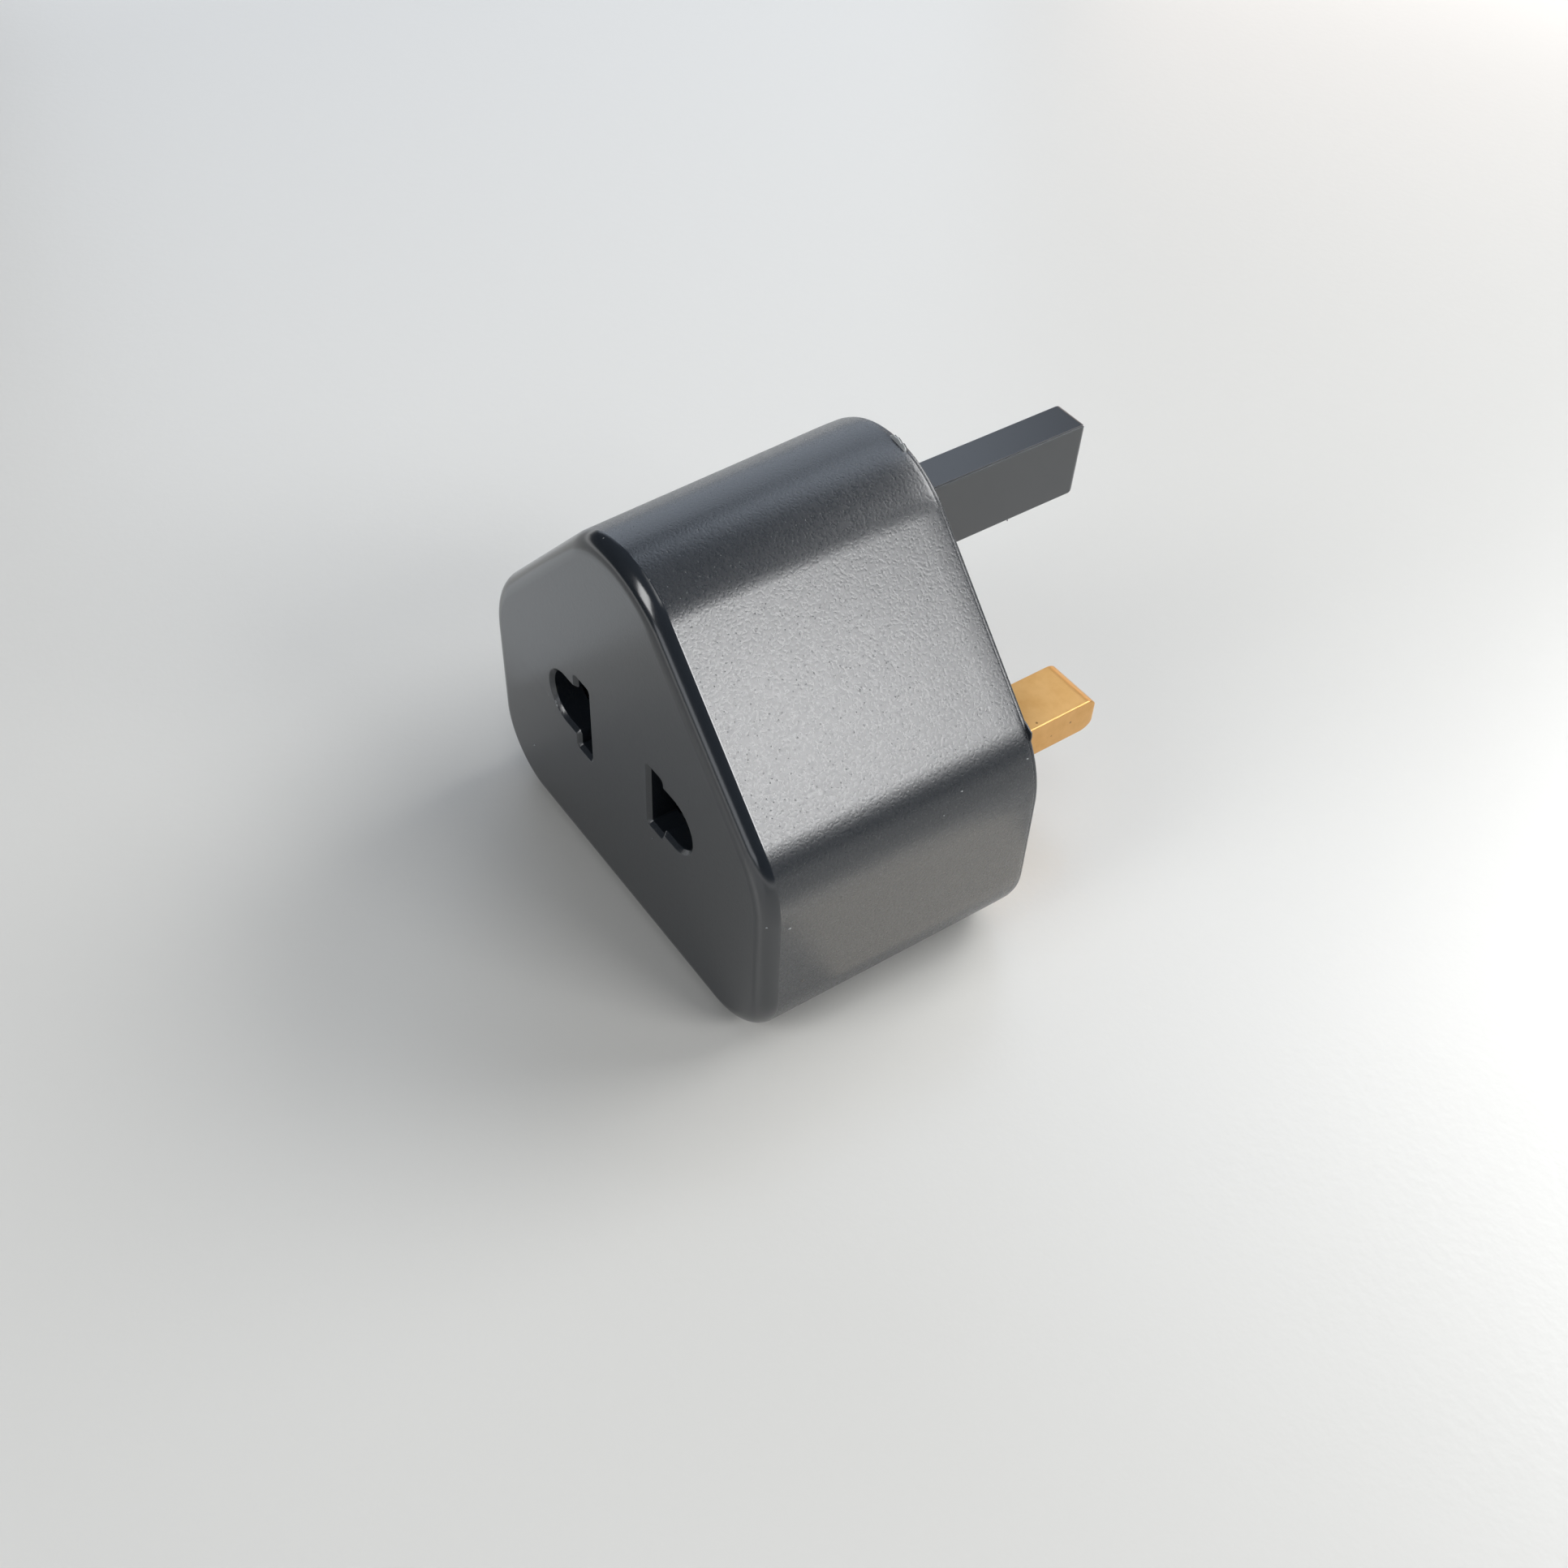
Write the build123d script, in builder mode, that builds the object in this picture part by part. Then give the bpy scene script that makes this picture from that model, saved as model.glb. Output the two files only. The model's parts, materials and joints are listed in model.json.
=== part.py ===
from build123d import *
from math import cos, radians, tan
import os

# Travel adapter: a two-pin socket face in front and a three-pin rectangular plug behind.
# X runs across the socket face, +Y points out along the plug pins and +Z points up.
# The origin is the middle of the flat base, halfway between the two faces. Sizes are in mm.

# Body outline, measured at the plug side, where the drafted body is widest
body_width = 50.2
body_height = 44.8
body_depth = 29.7
flank_angle = 46.3
corner_radius = 9.0
shoulder_radius = 12.1
apex_radius = 11.2

# Moulded walls and edges
draft_inset = 1.0
front_edge_radius = 2.0
side_wall = 2.0
face_wall = 3.0
cover_wall = 3.0
rib_wall = 1.0
seam_chamfer = 0.15

# Thin lip of the rear cover that shows round the rim, and the slack of its spigot
cover_lip = 0.45
lip_setback = 0.08
lip_round = 0.3
cover_clearance = 0.1

# Plug pins: the live and neutral pins are brass, the earth pin is part of the cover
pin_pitch = 22.2
pin_height = 12.0
pin_width = 6.35
pin_thickness = 4.0
pin_length = 18.0
pin_nose_radius = 1.5
pin_corner_chamfer = 0.5
pin_slot_clearance = 0.05
earth_rise = 22.2
earth_width = 4.0
earth_thickness = 8.0
earth_length = 22.4
earth_tip_chamfer = 0.4

# Collar, riveting stub and peened head at the inner end of each brass pin
collar_width = 8.2
collar_height = 5.8
collar_thickness = 1.5
collar_clearance = 0.1
stub_radius = 1.2
stub_clearance = 0.05
rivet_head_radius = 1.8
rivet_head_height = 0.9

# Socket apertures: a round hole and a blade slot joined by a strip as tall as the hole
socket_height = 19.5
round_pitch = 19.0
round_radius = 2.8
blade_pitch = 12.7
blade_slot_width = 2.2
live_slot_length = 7.35
neutral_slot_length = 8.9
lead_in = 0.4

# Spring strips behind the apertures
strip = 0.5
bend_radius = 0.6
pinch_radius = 3.0
leaf_height = 7.0
leaf_gap_to_face = 2.0
pinch_depth = 7.0
blade_thickness = 1.5
clip_gap = 4.1
clip_pinch = 0.7
clip_flare = 0.5
blade_gap = 1.6
blade_pinch = 0.5
blade_flare = 0.6
riser_gap = 0.15
arm_height = 4.6
foot_width = 6.2

# Cages, thrust tubes and spine inside the front shell
cage_width = 11.2
cage_height = 11.2
cage_depth = 16.0
thrust_outer_radius = 2.9
thrust_inner_radius = 2.1
seat_slack = 0.1
spine_depth = 7.0

# Cover screw and its bosses
screw_height = 22.0
screw_radius = 1.45
screw_length = 14.0
screw_head_radius = 2.75
screw_head_height = 1.9
screw_recess_length = 3.0
screw_recess_width = 0.7
screw_recess_depth = 1.1
screw_hole_clearance = 0.2
screw_thread_fit = 0.03
screw_tip_room = 1.0
counterbore_radius = 3.2
counterbore_depth = 3.2
shell_boss_radius = 3.5
cover_boss_radius = 3.7
cover_boss_height = 3.0

# Depths along Y that the pieces share
front_y = -body_depth / 2
rear_y = body_depth / 2
rim_y = rear_y - cover_lip
face_inner_y = front_y + face_wall
cover_inner_y = rear_y - cover_wall
boss_end_y = cover_inner_y - cover_boss_height
contact_y = cover_inner_y - collar_thickness - strip / 2
blade_spring_y = contact_y - strip
rivet_y = blade_spring_y - strip / 2
leaf_tip_y = face_inner_y + leaf_gap_to_face
pinch_y = leaf_tip_y + pinch_depth

# Heights along Z and places along X that the pieces share
sharp_apex = body_height + apex_radius * (1 / cos(radians(flank_angle)) - 1)
earth_height = pin_height + earth_rise
leaf_low = socket_height - leaf_height / 2
leaf_high = socket_height + leaf_height / 2
middle_leaf_x = (blade_pitch + blade_thickness + strip) / 2
outer_leaf_x = middle_leaf_x + strip + clip_gap
blade_leaf_x = middle_leaf_x - strip - blade_gap
cage_x = (blade_leaf_x + outer_leaf_x) / 2

POLES = {
    "live": (1, live_slot_length),
    "neutral": (-1, neutral_slot_length),
}


def across(y):
    """Plane square to the pins at depth y, seen from the socket side."""
    return Plane.XZ.offset(-y)


def outline_at(y, inset=0.0):
    """Rounded roof-shaped outline at depth y, moved in by inset and by the draft."""
    side_inset = inset + draft_inset * (rear_y - y) / body_depth
    half_width = body_width / 2 - side_inset
    peak = sharp_apex - side_inset / cos(radians(flank_angle))
    shoulder = peak - half_width * tan(radians(flank_angle))
    with BuildSketch(across(y)) as outline:
        with BuildLine():
            Polyline(
                (-half_width, inset),
                (half_width, inset),
                (half_width, shoulder),
                (0, peak),
                (-half_width, shoulder),
                close=True,
            )
        make_face()
        fillet(outline.vertices().group_by(Axis.Y)[1], radius=shoulder_radius - side_inset)
        fillet(outline.vertices().group_by(Axis.Y)[0], radius=corner_radius - side_inset)
        fillet(outline.vertices().group_by(Axis.Y)[-1], radius=apex_radius - side_inset)
    return outline.sketch


# Front shell: socket face, drafted walls and the seats for everything inside
with BuildPart() as housing:
    loft([outline_at(front_y), outline_at(rim_y)], ruled=True)
    fillet(housing.faces().sort_by(Axis.Y)[0].edges(), radius=front_edge_radius)
    chamfer(housing.faces().sort_by(Axis.Y)[-1].edges(), length=seam_chamfer)
    loft(
        [outline_at(face_inner_y, side_wall), outline_at(rim_y, side_wall)],
        ruled=True,
        mode=Mode.SUBTRACT,
    )

    # Upright spine that stiffens the socket face from the base wall to the apex
    spine_low = side_wall / 2
    spine_high = body_height - draft_inset - side_wall / 2
    with BuildSketch(across(face_inner_y)):
        with Locations((0, (spine_low + spine_high) / 2)):
            Rectangle(rib_wall, spine_high - spine_low)
    extrude(amount=-spine_depth)

    # Cages that back the spring leaves behind each aperture
    with BuildSketch(across(face_inner_y)):
        with Locations((cage_x, socket_height), (-cage_x, socket_height)):
            Rectangle(cage_width, cage_height)
            Rectangle(cage_width - 2 * rib_wall, cage_height - 2 * rib_wall, mode=Mode.SUBTRACT)
    extrude(amount=-cage_depth)

    # Thrust tubes that bear on the pin feet, so that the pins can't be pushed inwards
    with BuildSketch(across(face_inner_y)):
        with Locations((pin_pitch / 2, pin_height), (-pin_pitch / 2, pin_height)):
            Circle(thrust_outer_radius)
            Circle(thrust_inner_radius, mode=Mode.SUBTRACT)
    extrude(amount=face_inner_y - rivet_y + seat_slack)

    # Screw boss with a blind pilot hole
    with BuildSketch(across(face_inner_y)):
        with Locations((0, screw_height)):
            Circle(shell_boss_radius)
    extrude(amount=face_inner_y - boss_end_y + seat_slack)
    screw_tip_y = rear_y - counterbore_depth - screw_length
    with BuildSketch(across(screw_tip_y - screw_tip_room)):
        with Locations((0, screw_height)):
            Circle(screw_radius + screw_thread_fit)
    extrude(amount=screw_tip_y - screw_tip_room - boss_end_y, mode=Mode.SUBTRACT)

    # Apertures through the socket face, with a lead-in chamfer round each mouth
    for side, slot_length in POLES.values():
        with BuildSketch(across(face_inner_y)):
            with Locations((side * round_pitch / 2, socket_height)):
                Circle(round_radius)
            with Locations((side * (round_pitch + blade_pitch) / 4, socket_height)):
                Rectangle((round_pitch - blade_pitch) / 2, 2 * round_radius)
            with Locations((side * blade_pitch / 2, socket_height)):
                Rectangle(blade_slot_width, slot_length)
        extrude(amount=face_wall, mode=Mode.SUBTRACT)
    socket_face = housing.faces().sort_by(Axis.Y)[0]
    chamfer([wire.edges() for wire in socket_face.inner_wires()], length=lead_in)


# Rear cover: lip, spigot, pin wells, screw boss and the earth pin in one moulding
with BuildPart() as rear_cover:
    loft([outline_at(rim_y, lip_setback), outline_at(rear_y, lip_setback)], ruled=True)
    fillet(rear_cover.faces().sort_by(Axis.Y)[-1].edges(), radius=lip_round)
    spigot_inset = side_wall + cover_clearance
    loft([outline_at(cover_inner_y, spigot_inset), outline_at(rim_y, spigot_inset)], ruled=True)

    # Wells that keep the pin collars from turning
    well_width = collar_width + 2 * collar_clearance
    well_height = collar_height + 2 * collar_clearance
    with BuildSketch(across(cover_inner_y)):
        with Locations((pin_pitch / 2, pin_height), (-pin_pitch / 2, pin_height)):
            Rectangle(well_width + 2 * rib_wall, well_height + 2 * rib_wall)
            Rectangle(well_width, well_height, mode=Mode.SUBTRACT)
    extrude(amount=collar_thickness)

    # Screw boss and the rib that ties it to the root of the earth pin
    rib_high = earth_height + earth_thickness / 2
    with BuildSketch(across(cover_inner_y)):
        with Locations((0, (screw_height + rib_high) / 2)):
            Rectangle(rib_wall, rib_high - screw_height)
    extrude(amount=cover_boss_height - rib_wall)
    with BuildSketch(across(cover_inner_y)):
        with Locations((0, screw_height)):
            Circle(cover_boss_radius)
    extrude(amount=cover_boss_height)

    # Earth pin with bevelled tip
    with BuildSketch(across(rear_y)):
        with Locations((0, earth_height)):
            Rectangle(earth_width, earth_thickness)
    extrude(amount=-earth_length)
    chamfer(rear_cover.faces().sort_by(Axis.Y)[-1].edges(), length=earth_tip_chamfer)

    # Slots for the brass pins and the counterbored screw hole
    with BuildSketch(across(cover_inner_y)):
        with Locations((pin_pitch / 2, pin_height), (-pin_pitch / 2, pin_height)):
            Rectangle(pin_width + 2 * pin_slot_clearance, pin_thickness + 2 * pin_slot_clearance)
    extrude(amount=-cover_wall, mode=Mode.SUBTRACT)
    with Locations(Plane(origin=(0, rear_y, screw_height), z_dir=(0, 1, 0))):
        CounterBoreHole(
            radius=screw_radius + screw_hole_clearance,
            counter_bore_radius=counterbore_radius,
            counter_bore_depth=counterbore_depth,
            depth=cover_wall + cover_boss_height,
        )


# Self-tapping cover screw with a domed head and a cross recess
with BuildPart() as cover_screw:
    head_seat_y = rear_y - counterbore_depth
    with BuildSketch(across(head_seat_y)):
        with Locations((0, screw_height)):
            Circle(screw_radius)
    extrude(amount=screw_length)
    chamfer(cover_screw.faces().sort_by(Axis.Y)[0].edges(), length=screw_radius / 2)
    with BuildSketch(across(head_seat_y)):
        with Locations((0, screw_height)):
            Circle(screw_head_radius)
    extrude(amount=-screw_head_height)
    fillet(cover_screw.faces().sort_by(Axis.Y)[-1].edges(), radius=screw_head_height / 2)
    with BuildSketch(across(head_seat_y + screw_head_height)):
        with Locations((0, screw_height)):
            Rectangle(screw_recess_length, screw_recess_width)
            Rectangle(screw_recess_width, screw_recess_length)
    extrude(amount=screw_recess_depth, mode=Mode.SUBTRACT)


def brass_pin(side):
    """Solid pin: nosed blade, collar behind the cover, riveting stub and peened head."""
    centre = (side * pin_pitch / 2, pin_height)
    with BuildPart() as pin:
        with BuildSketch(across(cover_inner_y)):
            with Locations(centre):
                Rectangle(pin_width, pin_thickness)
        extrude(amount=-(cover_wall + pin_length))
        tip = pin.faces().sort_by(Axis.Y)[-1]
        chamfer(tip.edges().filter_by(Axis.Z), length=pin_corner_chamfer)
        tip = pin.faces().sort_by(Axis.Y)[-1]
        fillet(tip.edges().filter_by(Axis.X), radius=pin_nose_radius)
        with BuildSketch(across(cover_inner_y)):
            with Locations(centre):
                Rectangle(collar_width, collar_height)
        extrude(amount=collar_thickness)
        with BuildSketch(across(cover_inner_y - collar_thickness)):
            with Locations(centre):
                Circle(stub_radius)
        extrude(amount=2 * strip)
        with BuildSketch(across(rivet_y)):
            with Locations(centre):
                Circle(rivet_head_radius)
        extrude(amount=rivet_head_height)
        fillet(pin.faces().sort_by(Axis.Y)[0].edges(), radius=rivet_head_height / 2)
    return pin.part


def pin_clip(side):
    """U-shaped clip whose two leaves hold the round pin of a plug."""
    neck_width = clip_gap + strip - 2 * bend_radius
    with BuildPart() as clip:
        with BuildSketch(Plane.XY.offset(leaf_low)):
            with BuildLine():
                FilletPolyline(
                    (side * (outer_leaf_x + clip_flare), leaf_tip_y),
                    (side * (outer_leaf_x - clip_pinch), pinch_y),
                    (side * outer_leaf_x, contact_y),
                    (side * middle_leaf_x, contact_y),
                    (side * middle_leaf_x, leaf_tip_y),
                    radius=(pinch_radius, bend_radius, bend_radius),
                )
            trace(line_width=strip)
        extrude(amount=leaf_height)
        with BuildSketch(across(contact_y - strip / 2)):
            with Locations((side * (middle_leaf_x + outer_leaf_x) / 2, (pin_height + leaf_high) / 2)):
                Rectangle(neck_width, leaf_high - pin_height)
            with Locations((side * pin_pitch / 2, pin_height)):
                Rectangle(foot_width, collar_height)
                Circle(stub_radius + stub_clearance, mode=Mode.SUBTRACT)
        extrude(amount=-strip)
    return clip.part


def blade_spring(side):
    """Strip whose bent-up leaf presses a flat blade against the clip beside it."""
    riser_inner_x = blade_leaf_x + bend_radius
    riser_outer_x = middle_leaf_x - strip / 2 - riser_gap
    arm_low = pin_height - arm_height / 2
    with BuildPart() as spring:
        with BuildSketch(Plane.XY.offset(leaf_low)):
            with BuildLine():
                FilletPolyline(
                    (side * (blade_leaf_x - blade_flare), leaf_tip_y),
                    (side * (blade_leaf_x + blade_pinch), pinch_y),
                    (side * blade_leaf_x, blade_spring_y),
                    (side * riser_outer_x, blade_spring_y),
                    radius=(pinch_radius, bend_radius),
                )
            trace(line_width=strip)
        extrude(amount=leaf_height)
        with BuildSketch(across(rivet_y)):
            with Locations((side * (riser_inner_x + riser_outer_x) / 2, (arm_low + leaf_high) / 2)):
                Rectangle(riser_outer_x - riser_inner_x, leaf_high - arm_low)
            with Locations((side * (blade_leaf_x + pin_pitch / 2) / 2, pin_height)):
                Rectangle(pin_pitch / 2 - blade_leaf_x, arm_height)
            with Locations((side * pin_pitch / 2, pin_height)):
                Rectangle(foot_width, collar_height)
                Circle(stub_radius + stub_clearance, mode=Mode.SUBTRACT)
        extrude(amount=-strip)
    return spring.part


os.makedirs("parts", exist_ok=True)
pieces = {"housing": housing.part, "rear_cover": rear_cover.part, "cover_screw": cover_screw.part}
for pole, (side, _) in POLES.items():
    pieces[f"{pole}_pin"] = brass_pin(side)
    pieces[f"{pole}_contact"] = pin_clip(side)
    pieces[f"{pole}_blade_spring"] = blade_spring(side)
for name, piece in pieces.items():
    piece.label = name
    export_step(piece, f"parts/{name}.step")
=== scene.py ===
import json
import logging
import math
from abc import ABC, abstractmethod
from dataclasses import dataclass
from enum import Enum
from typing import Any, Mapping, Sequence

import bmesh
import bpy
import numpy as np
from mathutils import Matrix, Vector
from mathutils.geometry import tessellate_polygon


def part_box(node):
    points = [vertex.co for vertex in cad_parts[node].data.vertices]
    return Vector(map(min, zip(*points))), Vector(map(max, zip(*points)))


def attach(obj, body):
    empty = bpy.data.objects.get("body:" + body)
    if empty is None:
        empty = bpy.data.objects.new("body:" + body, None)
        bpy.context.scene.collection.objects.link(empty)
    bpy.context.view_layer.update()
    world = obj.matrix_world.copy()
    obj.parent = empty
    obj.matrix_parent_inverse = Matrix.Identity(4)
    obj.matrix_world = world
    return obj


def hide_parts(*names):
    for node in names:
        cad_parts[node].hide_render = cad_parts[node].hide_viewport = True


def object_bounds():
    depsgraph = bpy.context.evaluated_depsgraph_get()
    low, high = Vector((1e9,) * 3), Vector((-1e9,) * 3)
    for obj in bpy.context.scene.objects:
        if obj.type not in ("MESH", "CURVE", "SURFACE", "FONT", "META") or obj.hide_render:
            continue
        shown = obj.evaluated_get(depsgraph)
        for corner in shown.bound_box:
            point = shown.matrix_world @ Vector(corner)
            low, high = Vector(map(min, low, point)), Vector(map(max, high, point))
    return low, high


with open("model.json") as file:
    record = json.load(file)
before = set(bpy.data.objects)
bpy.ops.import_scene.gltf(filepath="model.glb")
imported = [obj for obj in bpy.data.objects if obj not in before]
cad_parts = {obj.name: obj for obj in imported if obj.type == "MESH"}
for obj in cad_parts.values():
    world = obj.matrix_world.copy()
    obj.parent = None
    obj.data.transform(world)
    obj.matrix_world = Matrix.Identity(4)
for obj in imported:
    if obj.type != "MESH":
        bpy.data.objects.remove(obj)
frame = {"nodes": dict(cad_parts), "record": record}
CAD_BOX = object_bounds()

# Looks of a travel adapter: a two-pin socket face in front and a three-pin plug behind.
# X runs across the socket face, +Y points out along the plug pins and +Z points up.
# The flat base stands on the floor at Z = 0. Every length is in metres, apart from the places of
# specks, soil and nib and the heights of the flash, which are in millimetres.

MM = 0.001
MICRON = 0.000001
BODY = "root"
POLISH = "mould_polish"
SCUFF_AND_HIGHLIGHT = "scuff"
PHOTO_SIDE = 1932
WHITE = "#FFFFFF"
LOG = logging.getLogger("adapter")

Colour = tuple[float, float, float, float]
Tree = bpy.types.NodeTree
Socket = bpy.types.NodeSocket


class Slot(Enum):
    """Material slots of the record, one for each kind of finish."""

    ABS = "body_abs"
    PIN = "pin_brass"
    SPRING = "spring_brass"
    SCREW = "screw_steel"


class Pole(Enum):
    """The two poles of the mains, each with the side of the adapter that it is on."""

    LIVE = 1
    NEUTRAL = -1

    @property
    def title(self) -> str:
        """The pole's name as the CAD nodes and mounts spell it."""
        return self.name.lower()


def linear(colour: str) -> Colour:
    """Turns an sRGB hex colour into the linear colour that a shader takes.

    Args:
        colour: Six hex digits after a hash sign.

    Returns:
        Red, green, blue and an alpha of one.
    """
    channels = [int(colour[i : i + 2], 16) / 255 for i in (1, 3, 5)]
    red, green, blue = (c / 12.92 if c <= 0.04045 else ((c + 0.055) / 1.055) ** 2.4 for c in channels)
    return red, green, blue, 1.0


def add_node(
    tree: Tree,
    kind: str,
    settings: Mapping[str, Any] | None = None,
    inputs: Mapping[str | int, Any] | None = None,
) -> bpy.types.Node:
    """Adds a node with its settings and links.

    Args:
        tree: Node tree that takes the node.
        kind: Blender's name of the node type.
        settings: Properties of the node by name.
        inputs: For each input socket, the output socket to link or the value to set.

    Returns:
        The new node.
    """
    node = tree.nodes.new(kind)
    for name, value in (settings or {}).items():
        setattr(node, name, value)
    for key, value in (inputs or {}).items():
        if isinstance(value, Socket):
            tree.links.new(value, node.inputs[key])
        else:
            node.inputs[key].default_value = value
    return node


def noise(tree: Tree, place: Socket, size: float, detail: float = 2.0, roughness: float = 0.5) -> Socket:
    """Adds a cloudy pattern.

    Args:
        tree: Node tree that takes it.
        place: Point on the surface.
        size: Size of its clouds, in the unit of that point.
        detail: Number of finer layers in it.
        roughness: How much each finer layer counts.

    Returns:
        The pattern, from 0 to 1.
    """
    inputs = {"Vector": place, "Scale": 1 / size, "Detail": detail, "Roughness": roughness}
    return add_node(tree, "ShaderNodeTexNoise", inputs=inputs).outputs["Fac"]


def cells(tree: Tree, place: Socket, size: float) -> Socket:
    """Adds a pattern of cells, which are lowest in their middle.

    Args:
        tree: Node tree that takes it.
        place: Point on the surface.
        size: Size of the cells, in the unit of that point.

    Returns:
        The distance to the nearest middle, as a share of that size.
    """
    inputs = {"Vector": place, "Scale": 1 / size}
    return add_node(tree, "ShaderNodeTexVoronoi", inputs=inputs).outputs["Distance"]


def remap(
    tree: Tree,
    value: Socket,
    before: tuple[float, float] = (0.0, 1.0),
    after: tuple[float, float | Socket] = (0.0, 1.0),
    shape: str = "LINEAR",
) -> Socket:
    """Adds a change of one range of values to another.

    Args:
        tree: Node tree that takes it.
        value: The value to change.
        before: Its two ends before the change.
        after: What these ends turn into.
        shape: Blender's name for the curve between them.

    Returns:
        The changed value.
    """
    inputs = {
        "Value": value,
        "From Min": before[0],
        "From Max": before[1],
        "To Min": after[0],
        "To Max": after[1],
    }
    return add_node(tree, "ShaderNodeMapRange", {"interpolation_type": shape}, inputs).outputs["Result"]


def blend(tree: Tree, share: Socket, first: Socket | Colour, second: Colour) -> Socket:
    """Adds a mix of two colours.

    Args:
        tree: Node tree that takes it.
        share: Share of the second colour.
        first: The first colour.
        second: The second colour.

    Returns:
        The mixed colour.
    """
    inputs = {0: share, 6: first, 7: second}
    return add_node(tree, "ShaderNodeMix", {"data_type": "RGBA"}, inputs).outputs[2]


def bump(
    tree: Tree,
    height: Socket,
    depth: float,
    below: Socket | None = None,
    strength: Socket | float = 1.0,
) -> Socket:
    """Adds a relief that is too fine to model.

    Args:
        tree: Node tree that takes it.
        height: Its height, from 0 to 1.
        depth: Distance between these two heights.
        below: Relief that it lies on.
        strength: How much of it shows.

    Returns:
        The direction that the surface faces with it.
    """
    inputs = {"Height": height, "Distance": depth, "Strength": strength}
    if below is not None:
        inputs["Normal"] = below
    return add_node(tree, "ShaderNodeBump", inputs=inputs).outputs["Normal"]


def seen_by(tree: Tree, first: str, second: str) -> Socket:
    """Adds a test for two kinds of ray.

    Args:
        tree: Node tree that takes it.
        first: Output of the light path node for one kind.
        second: Its output for the other kind.

    Returns:
        One for a ray of either kind, and zero for all others.
    """
    path = add_node(tree, "ShaderNodeLightPath").outputs
    return add_node(
        tree, "ShaderNodeMath", {"operation": "MAXIMUM"}, {0: path[first], 1: path[second]}
    ).outputs[0]


def mount_place(name: str) -> Vector:
    """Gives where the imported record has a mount.

    Args:
        name: Name of the mount.

    Returns:
        Its position in the row frame.
    """
    mounts = {mount["name"]: mount for mount in frame["record"]["mounts"]}
    return Vector(mounts[name]["pos_m"])


@dataclass(frozen=True)
class Corner:
    """Corner of a path in a plane, rounded by an arc that is tangent to both its sides."""

    u: float
    v: float
    radius: float = 0.0
    steps: int = 1

    def arc(self, before: "Corner", after: "Corner") -> list[np.ndarray]:
        """Works out the points of the rounded corner.

        Args:
            before: Corner that comes before this one.
            after: Corner that comes after it.

        Returns:
            Points along the arc, or the corner itself where it has no radius.
        """
        here = np.array((self.u, self.v))
        if self.radius <= 0:
            return [here]
        back = np.array((before.u, before.v)) - here
        ahead = np.array((after.u, after.v)) - here
        back /= np.linalg.norm(back)
        ahead /= np.linalg.norm(ahead)
        turn = math.pi - math.acos(float(np.clip(back @ ahead, -1, 1)))
        start = here + back * self.radius * math.tan(turn / 2)
        middle = (back + ahead) / np.linalg.norm(back + ahead)
        centre = here + middle * self.radius / math.cos(turn / 2)
        way = math.copysign(1, back[1] * ahead[0] - back[0] * ahead[1])
        spoke = start - centre
        points = []
        for step in range(self.steps + 1):
            angle = way * turn * step / self.steps
            c, s = math.cos(angle), math.sin(angle)
            points.append(centre + np.array((c * spoke[0] - s * spoke[1], s * spoke[0] + c * spoke[1])))
        return points


def rounded_loop(corners: Sequence[Corner], divisions: int = 1) -> np.ndarray:
    """Draws a closed outline through rounded corners.

    Args:
        corners: Corners of the outline in order.
        divisions: Equal parts that each straight between two arcs is cut into.

    Returns:
        One row of two coordinates for each point, without repeating the first.
    """
    count = len(corners)
    arcs = [corners[i].arc(corners[i - 1], corners[(i + 1) % count]) for i in range(count)]
    points: list[np.ndarray] = []
    for i, arc in enumerate(arcs):
        following = arcs[(i + 1) % count][0]
        points.extend(arc)
        points.extend(arc[-1] + (following - arc[-1]) * k / divisions for k in range(1, divisions))
    return np.array(points)


def rounded_path(corners: Sequence[Corner]) -> list[tuple[float, float]]:
    """Draws an open path through rounded corners.

    Args:
        corners: Corners of the path in order, with its two ends.

    Returns:
        Points of the path as pairs of coordinates.
    """
    points = [np.array((corners[0].u, corners[0].v))]
    for before, corner, after in zip(corners, corners[1:], corners[2:]):
        points.extend(corner.arc(before, after))
    points.append(np.array((corners[-1].u, corners[-1].v)))
    return [(float(u), float(v)) for u, v in points]


def rectangle(
    centre_x: float, centre_z: float, width: float, height: float, radius: float = 0.0, steps: int = 4
) -> np.ndarray:
    """Draws a rectangle in a plane square to the pins.

    Args:
        centre_x: Place of its centre across the body.
        centre_z: Height of its centre.
        width: Size across.
        height: Size upwards.
        radius: Radius of its corners.
        steps: Parts that each corner's arc is cut into.

    Returns:
        The outline's points.
    """
    right, top = centre_x + width / 2, centre_z + height / 2
    left, low = centre_x - width / 2, centre_z - height / 2
    places = ((left, low), (right, low), (right, top), (left, top))
    return rounded_loop([Corner(u, v, radius, steps) for u, v in places])


def circle(centre_x: float, centre_z: float, radius: float, points: int = 48) -> np.ndarray:
    """Draws a circle in a plane square to the pins.

    Args:
        centre_x: Place of its centre across the body.
        centre_z: Height of its centre.
        radius: Its radius.
        points: Number of points on it.

    Returns:
        The outline's points.
    """
    angles = np.arange(points) * 2 * math.pi / points
    return np.stack((centre_x + radius * np.cos(angles), centre_z + radius * np.sin(angles)), axis=1)


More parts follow.
